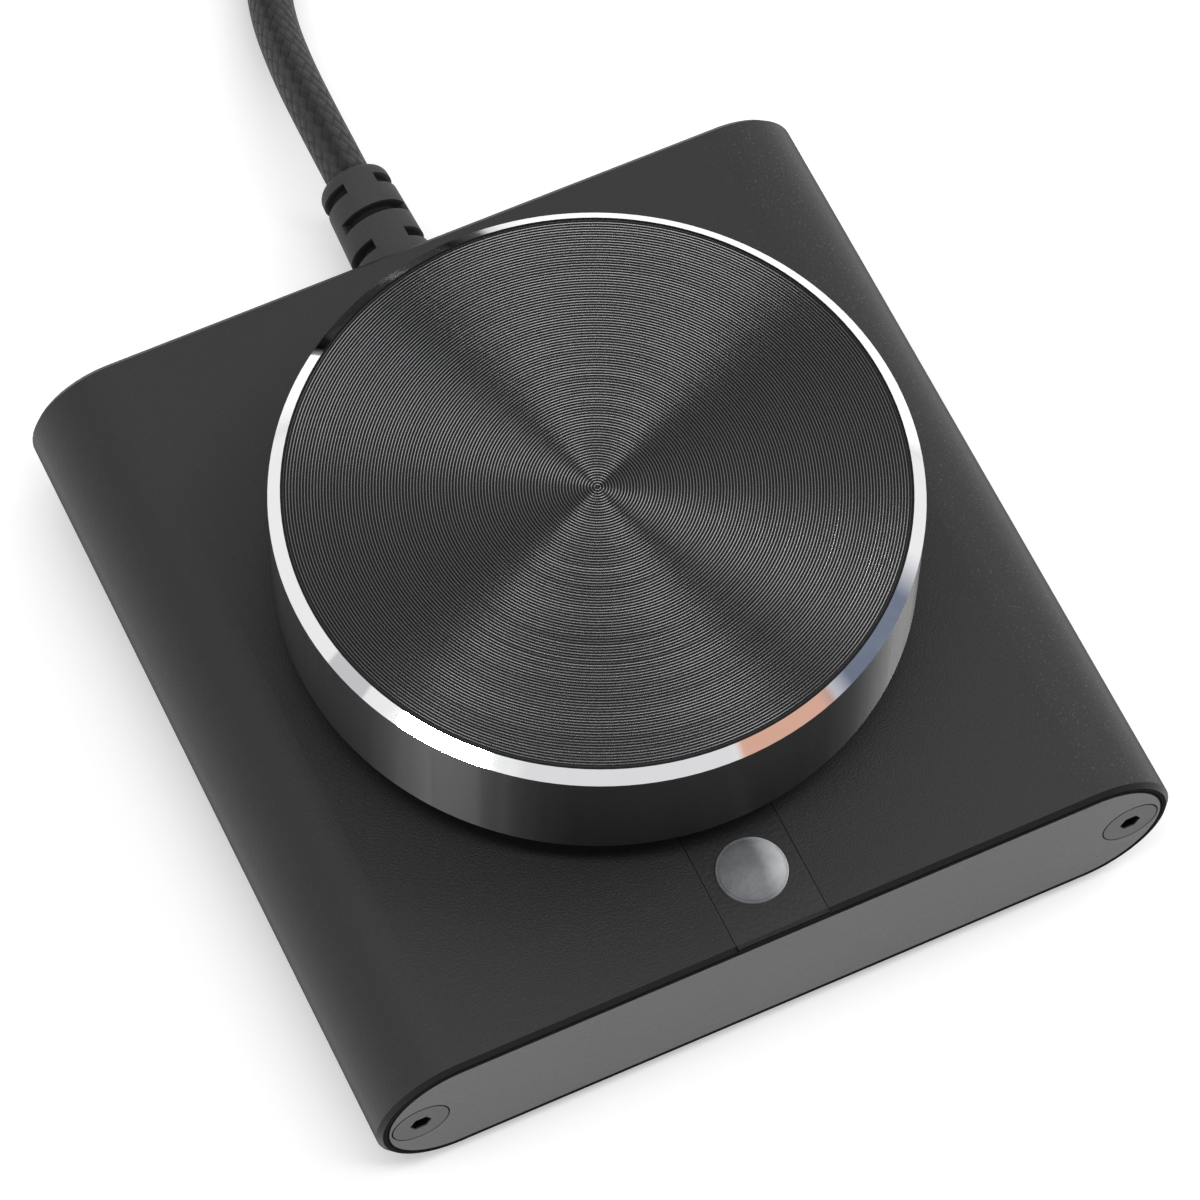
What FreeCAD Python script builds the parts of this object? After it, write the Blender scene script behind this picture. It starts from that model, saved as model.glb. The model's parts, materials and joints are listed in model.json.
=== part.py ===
import FreeCAD, Part
import math
import operator
import os

import Sketcher

from FreeCAD import Placement, Rotation, Vector

# USB volume control knob: a flat extruded case with an encoder board inside,
# a turned knob that turns and presses, and a cable put away in a tied coil.
# X runs along the front, the front faces -Y, and Z is up from the surface it stands on.

doc = FreeCAD.newDocument("usb_volume_knob")

# Driving dimensions in millimetres, kept in the sheet
SIZES = {
    # case
    "case_width": 65,
    "case_depth": 64.8,
    "case_height": 13.4,
    "case_wall": 1.5,
    "end_chamfer": 0.4,
    "overrun": 1,
    # rubber feet
    "foot_height": 1,
    "foot_radius": 4,
    "foot_taper": 0.3,
    "foot_inset": 12,
    # end plates and the tongue that closes the slot
    "plate_thickness": 1.5,
    "side_lip": 0.8,
    "top_lip": 0.45,
    "plate_gap": 0.06,
    "slot_width": 7.5,
    "tongue_gap": 0.05,
    "tongue_reach": 28.2,
    "tongue_end_gap": 0.7,
    "flange_overlap": 1.3,
    "flange_thickness": 0.8,
    "flange_setback": 6.6,
    # end screws and their ports in the extrusion
    "screw_inset": 3.4,
    "screw_radius": 1.25,
    "screw_length": 8,
    "head_radius": 2.3,
    "head_seat_gap": 0.05,
    "screw_gap": 0.02,
    "plate_hole_gap": 0.1,
    "socket_circle": 0.87,
    "socket_depth": 0.9,
    "port_radius": 2.4,
    # status lens and its light
    "lens_inset": 5.4,
    "lens_radius": 2.7,
    "lens_gap": 0.05,
    "lens_dome": 0.9,
    "lens_collar": 0.65,
    "stem_radius": 1.5,
    "stem_gap": 0.2,
    "led_width": 3.5,
    "led_depth": 2.8,
    "led_height": 1.9,
    # circuit board and its rails
    "board_thickness": 1.6,
    "board_gap": 1.2,
    "board_side_gap": 0.7,
    "board_rear_gap": 4.9,
    "rail_width": 1.8,
    "rail_lap": 1.2,
    "rail_gap": 0.05,
    "upper_rail_thickness": 0.8,
    "pin_hole_radius": 0.55,
    # parts on the board
    "chip_length": 9.9,
    "chip_width": 3.9,
    "chip_height": 1.5,
    "chip_stand_off": 0.1,
    "chip_lead_width": 0.42,
    "chip_lead_reach": 1.05,
    "chip_lead_thickness": 0.25,
    "chip_lead_pitch": 1.27,
    "chip_x": 12.8,
    "chip_y": 4,
    "crystal_length": 11.2,
    "crystal_width": 4.7,
    "crystal_height": 3.5,
    "crystal_y": 8,
    "capacitor_radius": 2,
    "capacitor_height": 5.2,
    "capacitor_base": 4.3,
    "capacitor_base_height": 0.9,
    "capacitor_x": 12.25,
    "capacitor_y": 9,
    "capacitor_pitch": 6.5,
    "resistor_length": 1.6,
    "resistor_width": 0.8,
    "resistor_height": 0.45,
    "resistor_pitch": 2.6,
    "resistor_x": 9,
    "resistor_y": 16,
    # encoder
    "encoder_width": 11.8,
    "encoder_depth": 12,
    "encoder_height": 6.5,
    "cover_thickness": 0.4,
    "cover_leg_width": 2,
    "cover_leg_below": 1.2,
    "cavity_radius": 5.35,
    "well_radius": 3.05,
    "well_floor": 0.8,
    "shoulder_height": 2.2,
    "bushing_radius": 3.5,
    "bushing_height": 5,
    "bushing_chamfer": 0.2,
    "washer_radius": 5.75,
    "washer_thickness": 0.5,
    "nut_circle": 5.77,
    "nut_thickness": 2,
    "thread_gap": 0.05,
    "pin_width": 0.7,
    "pin_pitch": 2.5,
    "pin_rise": 0.6,
    "pin_reach": 1.9,
    "pin_below": 1.2,
    # rotor of the encoder
    "wheel_radius": 4.9,
    "wheel_hub_radius": 4,
    "wheel_lift": 0.7,
    "wheel_thickness": 1.6,
    "wheel_gap": 0.05,
    "groove_width": 0.5,
    "groove_depth": 0.25,
    "spring_thickness": 0.2,
    "spring_gap": 0.02,
    "spring_drop": 0.3,
    "bump_radius": 0.5,
    "bump_clearance": 0.1,
    # shaft
    "shaft_radius": 3,
    "shaft_reach": 12.5,
    "shaft_gap": 0.04,
    "shaft_step": 0.1,
    "flat_across": 4.5,
    "flat_length": 7,
    "key_radius": 2.5,
    "key_across": 4.35,
    "key_gap": 0.03,
    "keeper_radius": 2.75,
    "keeper_thickness": 0.35,
    "keeper_gap": 0.1,
    "press_travel": 0.5,
    # press switch under the shaft
    "dome_radius": 2.6,
    "dome_foot": 0.4,
    "dome_thickness": 0.15,
    "dome_gap": 0.05,
    "contact_radius": 0.9,
    "contact_thickness": 0.15,
    # knob
    "knob_radius": 24.1,
    "knob_height": 10.67,
    "knob_gap": 2.95,
    "knob_wall": 1.8,
    "knob_top": 2,
    "knob_chamfer_width": 0.93,
    "knob_chamfer_height": 0.81,
    "rim_chamfer": 0.3,
    "hub_fit": 0.03,
    "hub_plate": 2,
    "hub_ring_wall": 1.6,
    "hub_ring_height": 4.5,
    "hub_boss_radius": 5.5,
    "hub_boss_gap": 0.5,
    "hub_rib_thickness": 1.2,
    "hub_rib_height": 2.8,
    "hub_bore_gap": 0.03,
    # cable and strain relief
    "cord_radius": 1.825,
    "cord_height": 4.5,
    "relief_length": 12.2,
    "relief_base_radius": 3.33,
    "relief_end_radius": 2.86,
    "relief_round": 0.85,
    "relief_neck_radius": 2.3,
    "relief_neck_gap": 0.05,
    "relief_flange_radius": 2.9,
    "relief_flange_thickness": 1.3,
    "relief_slot": 0.95,
    "relief_slot_pitch": 2.85,
    "relief_first_slot": 1.85,
    "relief_core_radius": 2.15,
    "cable_end_length": 4.4,
    # connector and conductors
    "socket_width": 10.4,
    "socket_length": 7.2,
    "socket_height": 4.8,
    "socket_wall": 0.7,
    "socket_x": 12.8,
    "socket_y": 27.4,
    "plug_fit": 0.1,
    "plug_stand_out": 0.8,
    "wire_radius": 0.4,
    "wire_pitch": 2,
    "wire_spread": 0.65,
    "wire_out": 1.75,
    "wire_turn_x": 3.5,
    "wire_turn_y": 4.3,
    "wire_in": 4,
    "wire_stagger": 0.57,
    # coil of spare cable
    "coil_radius": 25.3,
    "coil_pitch": 4.4,
    "tie_thickness": 0.8,
    "tie_width": 7,
    "tie_gap": 0.2,
    "tie_round": 1.8,
    # USB plug
    "grip_width": 15.4,
    "grip_height": 8,
    "grip_length": 20,
    "grip_round": 1.8,
    "grip_taper_length": 7,
    "grip_neck_width": 7.2,
    "grip_neck_height": 5.6,
    "shell_width": 12,
    "shell_height": 4.5,
    "shell_length": 18.7,
    "shell_wall": 0.3,
    "shell_set_in": 3,
    "window_size": 2.2,
    "window_place": 6.5,
    "window_spacing": 5.4,
    "tongue_thickness": 1.9,
    "tongue_fit": 0.05,
    "tongue_short": 1,
    "contact_strip_width": 1,
    "contact_strip_thickness": 0.2,
    "contact_strip_pitch": 2.3,
}

# Counts and angles
DETENTS = 20
HUB_RIBS = 6
RELIEF_SLOT_ANGLE = 128
TIE_ANGLE = 200
RELIEF_ROWS = 4
CHIP_LEADS = 8
COIL_PASSES = 4
COIL_TURNS = 8.06
CORD_SIDES = 8

# Shares of a straight run that its bends may take, and the least place off zero
BEND_SHARE = 0.45
WIRE_END_SHARE = 0.9
LEAST_OFFSET = 1e-6

# The free stretches of the cable, point by point along its middle line
LEAD_ROUTE = [
    (0, 44.6, 5.5),
    (0, 51, 5.5),
    (0.35, 57.2, 4.6),
    (1.35, 63.4, 2.95),
    (3.4, 69.4, 2),
    (6.6, 75, 2.1),
    (11.05, 79.45, 2.825),
    (14.95, 83.35, 2.825),
]
TAIL_ROUTE = [
    (29.8, 109.2, 14.7),
    (30, 117.6, 11.3),
    (27.8, 125.8, 8),
    (23.2, 132.9, 5.4),
    (16.8, 138.2, 4.2),
    (9, 140.9, 4),
    (1.4, 140.9, 4),
]

sheet = doc.addObject("Spreadsheet::Sheet", "Sizes")
for row, (alias, value) in enumerate(SIZES.items(), 1):
    sheet.set(f"A{row}", alias)
    sheet.set(f"B{row}", str(value))
    sheet.setAlias(f"B{row}", alias)
doc.recompute()

SIGNS = {
    "+": operator.add,
    "-": operator.sub,
    "*": operator.mul,
    "/": operator.truediv,
}


class Size:
    """A length in millimetres, with the sheet's expression for it."""

    def __init__(self, value, text):
        self.value = value
        self.text = text

    def joined(self, sign, other, swapped=False):
        if not isinstance(other, Size):
            other = Size(other, str(other))
        first, second = (other, self) if swapped else (self, other)
        value = SIGNS[sign](first.value, second.value)
        return Size(value, f"({first.text} {sign} {second.text})")

    def __add__(self, other):
        return self.joined("+", other)

    def __radd__(self, other):
        return self.joined("+", other, True)

    def __sub__(self, other):
        return self.joined("-", other)

    def __rsub__(self, other):
        return self.joined("-", other, True)

    def __mul__(self, other):
        return self.joined("*", other)

    def __rmul__(self, other):
        return self.joined("*", other, True)

    def __truediv__(self, other):
        return self.joined("/", other)

    def __neg__(self):
        return 0 - self


class Sheet:
    """The sheet's cells by name."""

    def __getattr__(self, name):
        return Size(SIZES[name], f"Sizes.{name}")


s = Sheet()
ZERO = Size(0, "0")
nodes = []


def keep(thing, name):
    """The finished piece gets the node's name and goes on the list of pieces to write."""
    thing.Label = name
    nodes.append(thing)
    return thing


def bind(thing, **sizes):
    for name, size in sizes.items():
        thing.setExpression(name, size.text)
    return thing


def place(thing, x=ZERO, y=ZERO, z=ZERO, turn=None):
    """Puts a piece at x, y, z, turned by a Rotation about its own origin."""
    if turn is not None:
        thing.Placement = Placement(Vector(0, 0, 0), turn)
    for axis, size in zip("xyz", (x, y, z)):
        thing.setExpression(f"Placement.Base.{axis}", size.text)
    return thing


def keep_on_axis(thing, name):
    """A piece drawn round its own origin is put on the knob's axis and kept."""
    return keep(place(thing, y=axis_y), name)


def body(name):
    return doc.addObject("PartDesign::Body", name)


def sketch(owner, name, plane, at=ZERO, rise=ZERO):
    """A sketch on a plane of the body, moved to where it cuts the third axis and up its own Y."""
    drawn = owner.newObject("Sketcher::SketchObject", name)
    base = [f for f in owner.Origin.OriginFeatures if f.Role == plane]
    drawn.AttachmentSupport = [(base[0], "")]
    drawn.MapMode = "FlatFace"
    offset = -at if plane == "XZ_Plane" else at
    drawn.setExpression("AttachmentOffset.Base.z", offset.text)
    drawn.setExpression("AttachmentOffset.Base.y", rise.text)
    return drawn


def fixed(drawn, kind, *where, size):
    """A dimension of a sketch, bound to the sheet."""
    number = drawn.addConstraint(Sketcher.Constraint(kind, *where, size.value))
    name = f"size{number}"
    drawn.renameConstraint(number, name)
    drawn.setExpression(f"Constraints.{name}", size.text)


def pinned(drawn, shape, end, x, y):
    """Fixes a point of a sketch at x, y from the sketch's origin."""
    for kind, size, axis in (("DistanceX", x, -2), ("DistanceY", y, -1)):
        if abs(size.value) > LEAST_OFFSET:
            fixed(drawn, kind, -1, 1, shape, end, size=size)
        else:
            drawn.addConstraint(Sketcher.Constraint("PointOnObject", shape, end, axis))


def outline(drawn, corners):
    """A closed outline of straight lines through the corners."""
    spots = [Vector(x.value, y.value, 0) for x, y in corners]
    first = drawn.GeometryCount
    count = len(corners)
    for i in range(count):
        drawn.addGeometry(Part.LineSegment(spots[i], spots[(i + 1) % count]))
    for i, (x, y) in enumerate(corners):
        before = first + (i - 1) % count
        drawn.addConstraint(Sketcher.Constraint("Coincident", before, 2, first + i, 1))
        pinned(drawn, first + i, 1, x, y)


def box_outline(drawn, left, low, right, high):
    outline(drawn, [(left, low), (right, low), (right, high), (left, high)])


def disc(drawn, x, y, radius):
    circle = Part.Circle(Vector(x.value, y.value, 0), Vector(0, 0, 1), radius.value)
    shape = drawn.addGeometry(circle)
    fixed(drawn, "Radius", shape, size=radius)
    pinned(drawn, shape, 3, x, y)


def stadium(drawn, x, y, run, radius, upright=False):
    """Two half rounds of one radius, joined by straights, with their centres a run apart."""
    ends = [-run / 2, run / 2]
    for i, along in enumerate(ends):
        cx, cy = (x, y + along) if upright else (x + along, y)
        start = math.pi * (i + (1 if upright else 0.5))
        circle = Part.Circle(Vector(cx.value, cy.value, 0), Vector(0, 0, 1), radius.value)
        drawn.addGeometry(Part.ArcOfCircle(circle, start, start + math.pi))
        fixed(drawn, "Radius", drawn.GeometryCount - 1, size=radius)
        pinned(drawn, drawn.GeometryCount - 1, 3, cx, cy)
    one, two = drawn.GeometryCount - 2, drawn.GeometryCount - 1
    for a, a_end, b, b_end in ((one, 2, two, 1), (two, 2, one, 1)):
        start = drawn.getPoint(a, a_end)
        end = drawn.getPoint(b, b_end)
        line = drawn.addGeometry(Part.LineSegment(start, end))
        drawn.addConstraint(Sketcher.Constraint("Tangent", a, a_end, line, 1))
        drawn.addConstraint(Sketcher.Constraint("Tangent", line, 2, b, b_end))


def feature(owner, kind, name, drawn, **sizes):
    made = owner.newObject(f"PartDesign::{kind}", name)
    made.Profile = drawn
    return bind(made, **sizes)


def pad(owner, name, drawn, length, back=False):
    made = feature(owner, "Pad", name, drawn, Length=length)
    made.Reversed = back
    return made


def pocket(owner, name, drawn, depth=None, back=False):
    made = feature(owner, "Pocket", name, drawn)
    if depth is None:
        made.Type = "ThroughAll"
    else:
        bind(made, Length=depth)
    made.Reversed = back
    return made


def revolved(owner, name, drawn, axis="V_Axis"):
    made = feature(owner, "Revolution", name, drawn)
    made.ReferenceAxis = (drawn, [axis])
    made.Angle = 360
    return made


def edges_where(made, test):
    """Names of the edges whose box passes the test."""
    doc.recompute()
    found = enumerate(made.Shape.Edges, 1)
    return [f"Edge{i}" for i, edge in found if test(edge.BoundBox)]


def dressed(owner, kind, name, made, test, size):
    """A chamfer or fillet on the edges that pass the test."""
    cut = owner.newObject(f"PartDesign::{kind}", name)
    cut.Base = (made, edges_where(made, test))
    return bind(cut, **{"Radius" if kind == "Fillet" else "Size": size})


def block(name, x, y, z, dx, dy, dz):
    """A box with its low corner at x, y, z."""
    made = bind(doc.addObject("Part::Box", name), Length=dx, Width=dy, Height=dz)
    return place(made, x, y, z)


def rod(name, x, y, z, radius, height, turn=None):
    made = bind(doc.addObject("Part::Cylinder", name), Radius=radius, Height=height)
    return place(made, x, y, z, turn)


def cut(name, base, tool):
    made = doc.addObject("Part::Cut", name)
    made.Base = base
    made.Tool = tool
    return made


def fused(name, parts):
    made = doc.addObject("Part::MultiFuse", name)
    made.Shapes = parts
    return made


def common(name, parts):
    made = doc.addObject("Part::MultiCommon", name)
    made.Shapes = parts
    return made


def group(name, parts):
    """Separate like pieces kept under one name."""
    made = doc.addObject("Part::Compound", name)
    made.Links = parts
    return made


# Levels and places that several pieces share
case_top = s.foot_height + s.case_height
case_middle = s.foot_height + s.case_height / 2
front = -s.case_depth / 2
rear = s.case_depth / 2
case_round = s.case_height / 2
roof = case_top - s.case_wall
floor = s.foot_height + s.case_wall
plate_run = s.case_width - 2 * s.side_lip - (s.case_height - 2 * s.top_lip)
plate_round = case_round - s.top_lip
screw_x = s.case_width / 2 - s.screw_inset
board_top = roof - s.encoder_height
board_bottom = board_top - s.board_thickness
axis_y = front + s.tongue_reach + s.tongue_end_gap + s.bushing_radius
flange_in = rear - s.plate_thickness - s.relief_flange_thickness
sheath_face = flange_in - s.cable_end_length
board_front = front + s.plate_thickness + s.board_gap
board_rear = sheath_face - s.board_rear_gap
board_edge = screw_x - s.port_radius - s.board_side_gap
lens_y = front + s.lens_inset
cord_z = s.foot_height + s.cord_height

ALONG_Y = Rotation(Vector(1, 0, 0), -90)
AGAINST_Y = Rotation(Vector(1, 0, 0), 90)

# Case: an extruded flat tube with full-round long sides, screw ports and board rails,
# rebated at both ends for the plates, with a slot for the encoder to slide in
case = body("case_body")
drawn = sketch(case, "case_outline", "XZ_Plane", front)
stadium(drawn, ZERO, case_middle, s.case_width - s.case_height, case_round)
outer = pad(case, "case_extrusion", drawn, s.case_depth, back=True)


def at_an_end(box):
    flat = box.YLength < s.overrun.value / 100
    return flat and abs(abs(box.YMin) - rear.value) < s.overrun.value / 100


dressed(case, "Chamfer", "case_end_chamfers", outer, at_an_end, s.end_chamfer)
drawn = sketch(case, "case_bore", "XZ_Plane", front)
stadium(drawn, ZERO, case_middle, s.case_width - s.case_height, case_round - s.case_wall)
pocket(case, "case_hollow", drawn)
drawn = sketch(case, "port_outline", "XZ_Plane", front)
for side in (-1, 1):
    disc(drawn, side * screw_x, case_middle, s.port_radius)
pad(case, "screw_ports", drawn, s.case_depth, back=True)
drawn = sketch(case, "rail_outline", "XZ_Plane", front)
rail_in = board_edge - s.rail_lap
upper_rail = board_top + s.rail_gap
for side in (-1, 1):
    near, far = side * rail_in, side * (rail_in + s.rail_width)
    left, right = (near, far) if side > 0 else (far, near)
    box_outline(drawn, left, floor - s.case_wall / 2, right, board_bottom - s.rail_gap)
    near, far = side * rail_in, side * (screw_x - s.port_radius / 2)
    left, right = (near, far) if side > 0 else (far, near)
    box_outline(drawn, left, upper_rail, right, upper_rail + s.upper_rail_thickness)
pad(case, "board_rails", drawn, s.case_depth, back=True)
for name, end, back in (("front_mouth", front, False), ("rear_mouth", rear, True)):
    drawn = sketch(case, f"{name}_outline", "XZ_Plane", end)
    stadium(drawn, ZERO, case_middle, plate_run, plate_round + s.plate_gap)
    pocket(case, name, drawn, s.plate_thickness, back)
drawn = sketch(case, "port_bores", "XZ_Plane", front)
for side in (-1, 1):
    disc(drawn, side * screw_x, case_middle, s.screw_radius + s.screw_gap)
pocket(case, "screw_bores", drawn)
drawn = sketch(case, "slot_outline", "XY_Plane", case_top)
slot_run = axis_y - front + s.slot_width
stadium(drawn, ZERO, axis_y - slot_run / 2, slot_run, s.slot_width / 2, upright=True)
pocket(case, "encoder_slot", drawn, s.case_wall + s.overrun / 2)
keep(case, "case_shell")

# Rubber feet: four tapered bumpers stuck under the case
feet = []
for i, (side, end) in enumerate(((-1, -1), (1, -1), (1, 1), (-1, 1))):
    foot = doc.addObject("Part::Cone", f"foot_{i}")
    bind(foot, Radius1=s.foot_radius - s.foot_taper, Radius2=s.foot_radius, Height=s.foot_height)
    foot_x = side * (s.case_width / 2 - s.foot_inset)
    foot_y = end * (s.case_depth / 2 - s.foot_inset)
    feet.append(place(foot, foot_x, foot_y, ZERO))
keep(group("foot_set", feet), "rubber_feet")


def end_plate(name, outside, back):
    """A stadium plate with two countersunk screw holes, and where its outside face lies."""
    plate = body(f"{name}_body")
    drawn = sketch(plate, f"{name}_outline", "XZ_Plane", outside)
    stadium(drawn, ZERO, case_middle, plate_run, plate_round)
    pad(plate, f"{name}_pad", drawn, s.plate_thickness, back)
    doc.recompute()
    drawn = sketch(plate, f"{name}_holes", "XZ_Plane", outside)
    for side in (-1, 1):
        disc(drawn, side * screw_x, case_middle, s.screw_radius)
    doc.recompute()
    hole = plate.newObject("PartDesign::Hole", f"{name}_countersinks")
    hole.Profile = drawn
    hole.ThreadType = "None"
    hole.DepthType = "ThroughAll"
    hole.HoleCutType = "Countersink"
    hole.HoleCutCustomValues = True
    hole.HoleCutCountersinkAngle = 90
    bind(hole, Diameter=2 * (s.screw_radius + s.plate_hole_gap))
    bind(hole, HoleCutDiameter=2 * (s.head_radius + s.head_seat_gap))
    hole.Reversed = not back
    return plate


# Front plate: a moulded plate with a tongue that fills the slot and holds the lens
plate = end_plate("front_plate", front, True)
drawn = sketch(plate, "tongue_web_outline", "XY_Plane", roof)
web = s.slot_width / 2 - s.tongue_gap
box_outline(drawn, -web, front, web, front + s.tongue_reach)
pad(plate, "tongue_web", drawn, s.case_wall)
drawn = sketch(plate, "tongue_flange_outline", "XY_Plane", roof - s.flange_thickness)
flange = s.slot_width / 2 + s.flange_overlap
box_outline(drawn, -flange, front + s.plate_thickness / 2, flange, axis_y - s.flange_setback)
pad(plate, "tongue_flange", drawn, s.flange_thickness)
drawn = sketch(plate, "lens_hole_outline", "XY_Plane", case_top)
disc(drawn, ZERO, lens_y, s.lens_radius + s.lens_gap)
pocket(plate, "lens_hole", drawn, s.case_wall + s.flange_thickness + s.overrun / 2)
drawn = sketch(plate, "collar_seat_outline", "XY_Plane", roof)
disc(drawn, ZERO, lens_y, s.lens_radius + s.lens_collar + s.lens_gap)
pocket(plate, "collar_seat", drawn, s.flange_thickness + s.overrun / 2)
keep(plate, "front_plate")

# Rear plate: the same plate with a round hole for the strain relief
plate = end_plate("rear_plate", rear, False)
drawn = sketch(plate, "relief_hole_outline", "XZ_Plane", rear)
disc(drawn, ZERO, cord_z, s.relief_neck_radius + s.relief_neck_gap)
pocket(plate, "relief_hole", drawn, None, True)
keep(plate, "rear_plate")


def plate_screws(name, y, turn):
    """Two countersunk screws with hexagon sockets, their heads flush with the plate."""
    screws = []
    for i, side in enumerate((-1, 1)):
        head = doc.addObject("Part::Cone", f"{name}_head_{i}")
        bind(head, Radius1=s.head_radius, Radius2=s.screw_radius)
        bind(head, Height=s.head_radius - s.screw_radius)
        shank = rod(f"{name}_shank_{i}", ZERO, ZERO, ZERO, s.screw_radius, s.screw_length)
        whole = fused(f"{name}_blank_{i}", [head, shank])
        socket = doc.addObject("Part::Prism", f"{name}_socket_{i}")
        socket.Polygon = 6
        bind(socket, Circumradius=s.socket_circle, Height=s.socket_depth)
        screw = cut(f"{name}_{i}", whole, socket)
        screws.append(place(screw, side * screw_x, y, case_middle, turn))
    keep(group(f"{name}_set", screws), name)


plate_screws("front_plate_screws", front, ALONG_Y)
plate_screws("rear_plate_screws", rear, AGAINST_Y)

# Status lens: a frosted plug with a low dome, a collar under the tongue and a light stem
lens_top = case_top + s.lens_dome
sphere_radius = (s.lens_radius * s.lens_radius + s.lens_dome * s.lens_dome) / (2 * s.lens_dome)
ball = bind(doc.addObject("Part::Sphere", "lens_ball"), Radius=sphere_radius)
place(ball, ZERO, lens_y, lens_top - sphere_radius)
plug_height = s.case_wall + s.lens_dome
barrel = rod("lens_barrel", ZERO, lens_y, roof - s.lens_gap, s.lens_radius, plug_height)
domed = common("lens_domed", [ball, barrel])
collar_height = s.flange_thickness - s.lens_gap
collar_z = roof - s.flange_thickness
collar_radius = s.lens_radius + s.lens_collar
collar = rod("lens_collar_disc", ZERO, lens_y, collar_z, collar_radius, collar_height)
stem_z = board_top + s.led_height + s.stem_gap
stem = rod("lens_stem", ZERO, lens_y, stem_z, s.stem_radius, collar_z - stem_z)
keep(fused("lens_whole", [domed, collar, stem]), "status_lens")

# Light under the lens
led = block("led_block", -s.led_width / 2, lens_y - s.led_depth / 2, board_top,
            s.led_width, s.led_depth, s.led_height)
keep(led, "status_led")

# Circuit board, with holes for the encoder's terminals and legs
pin_row = s.encoder_depth / 2 + s.pin_reach - s.pin_width / 2
pin_places = [(i * s.pin_pitch, -pin_row) for i in (-1, 0, 1)]
pin_places += [(i * s.pin_pitch, pin_row) for i in (-1, 1)]
board = body("board_body")
drawn = sketch(board, "board_outline", "XY_Plane", board_bottom)
box_outline(drawn, -board_edge, board_front, board_edge, board_rear)
pad(board, "board_sheet", drawn, s.board_thickness)
drawn = sketch(board, "board_holes", "XY_Plane", board_top)
for x, y in pin_places:
    disc(drawn, x, axis_y + y, s.pin_hole_radius)
leg_out = s.encoder_width / 2 + s.cover_thickness + s.plate_hole_gap
leg_in = s.encoder_width / 2 - s.plate_hole_gap
leg_half = s.cover_leg_width / 2 + s.plate_hole_gap
box_outline(drawn, leg_in, axis_y - leg_half, leg_out, axis_y + leg_half)
box_outline(drawn, -leg_out, axis_y - leg_half, -leg_in, axis_y + leg_half)
pocket(board, "board_drillings", drawn)
keep(board, "circuit_board")

# Controller chip with a row of leads along each long side
chip_base = board_top + s.chip_stand_off
chip_y = axis_y + s.chip_y
parts = [block("chip_case", -s.chip_x - s.chip_width / 2, chip_y - s.chip_length / 2,
               chip_base, s.chip_width, s.chip_length, s.chip_height)]
lead_z = board_top
lead_height = s.chip_stand_off + s.chip_height / 2
for i in range(CHIP_LEADS):
    y = chip_y + (i - (CHIP_LEADS - 1) / 2) * s.chip_lead_pitch - s.chip_lead_width / 2
    for side in (-1, 1):
        wall = -s.chip_x + side * s.chip_width / 2
        tip = wall + side * s.chip_lead_reach
        low = tip if side < 0 else wall
        parts.append(block(f"chip_foot_{i}_{side + 1}", low, y, board_top,
                           s.chip_lead_reach, s.chip_lead_width, s.chip_lead_thickness))
        inner = wall - s.chip_lead_thickness * (side < 0)
        parts.append(block(f"chip_knee_{i}_{side + 1}", inner, y, board_top,
                           s.chip_lead_thickness, s.chip_lead_width, lead_height))
keep(fused("chip_whole", parts), "controller_chip")

# Crystal in its drawn metal can
crystal = body("crystal_body")
drawn = sketch(crystal, "crystal_outline", "XY_Plane", board_top)
crystal_run = s.crystal_length - s.crystal_width
stadium(drawn, -s.chip_x, axis_y - s.crystal_y, crystal_run, s.crystal_width / 2, upright=True)
can = pad(crystal, "crystal_can", drawn, s.crystal_height)
crystal_top = board_top + s.crystal_height
dressed(crystal, "Chamfer", "crystal_edge", can,
        lambda box: abs(box.ZMin - crystal_top.value) < s.overrun.value / 100,
        s.cover_thickness)
keep(crystal, "timing_crystal")

# Smoothing capacitors: cans on square bases
cans = []
for i, side in enumerate((-1, 1)):
    x = s.capacitor_x + side * s.capacitor_pitch / 2
    y = axis_y - s.capacitor_y
    base = block(f"capacitor_base_{i}", x - s.capacitor_base / 2,
                 y - s.capacitor_base / 2, board_top,
                 s.capacitor_base, s.capacitor_base, s.capacitor_base_height)
    can = rod(f"capacitor_can_{i}", x, y, board_top, s.capacitor_radius, s.capacitor_height)
    cans.append(fused(f"capacitor_{i}", [base, can]))
keep(group("capacitor_set", cans), "capacitors")

# Chip resistors in a row in front of the encoder
chips = []
for i in (-2, -1, 0, 1, 2):
    x = s.resistor_x + i * s.resistor_pitch - s.resistor_width / 2
    chips.append(block(f"resistor_{i + 2}", x, axis_y - s.resistor_y, board_top,
                       s.resistor_width, s.resistor_length, s.resistor_height))
keep(group("resistor_set", chips), "resistors")

# Encoder housing: a moulded cup with a well for the press switch
housing_height = s.encoder_height - s.cover_thickness
shoulder = board_top + s.shoulder_height
well_bottom = board_top + s.well_floor
cup = body("housing_body")
drawn = sketch(cup, "housing_outline", "XY_Plane", board_top)
half_width = s.encoder_width / 2
half_depth = s.encoder_depth / 2
box_outline(drawn, -half_width, -half_depth, half_width, half_depth)
pad(cup, "housing_block", drawn, housing_height)
drawn = sketch(cup, "cavity_outline", "XY_Plane", board_top + housing_height)
disc(drawn, ZERO, ZERO, s.cavity_radius)
pocket(cup, "wheel_cavity", drawn, housing_height - s.shoulder_height)
drawn = sketch(cup, "well_outline", "XY_Plane", shoulder)
disc(drawn, ZERO, ZERO, s.well_radius)
pocket(cup, "switch_well", drawn, s.shoulder_height - s.well_floor)
keep_on_axis(cup, "encoder_housing")

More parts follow.
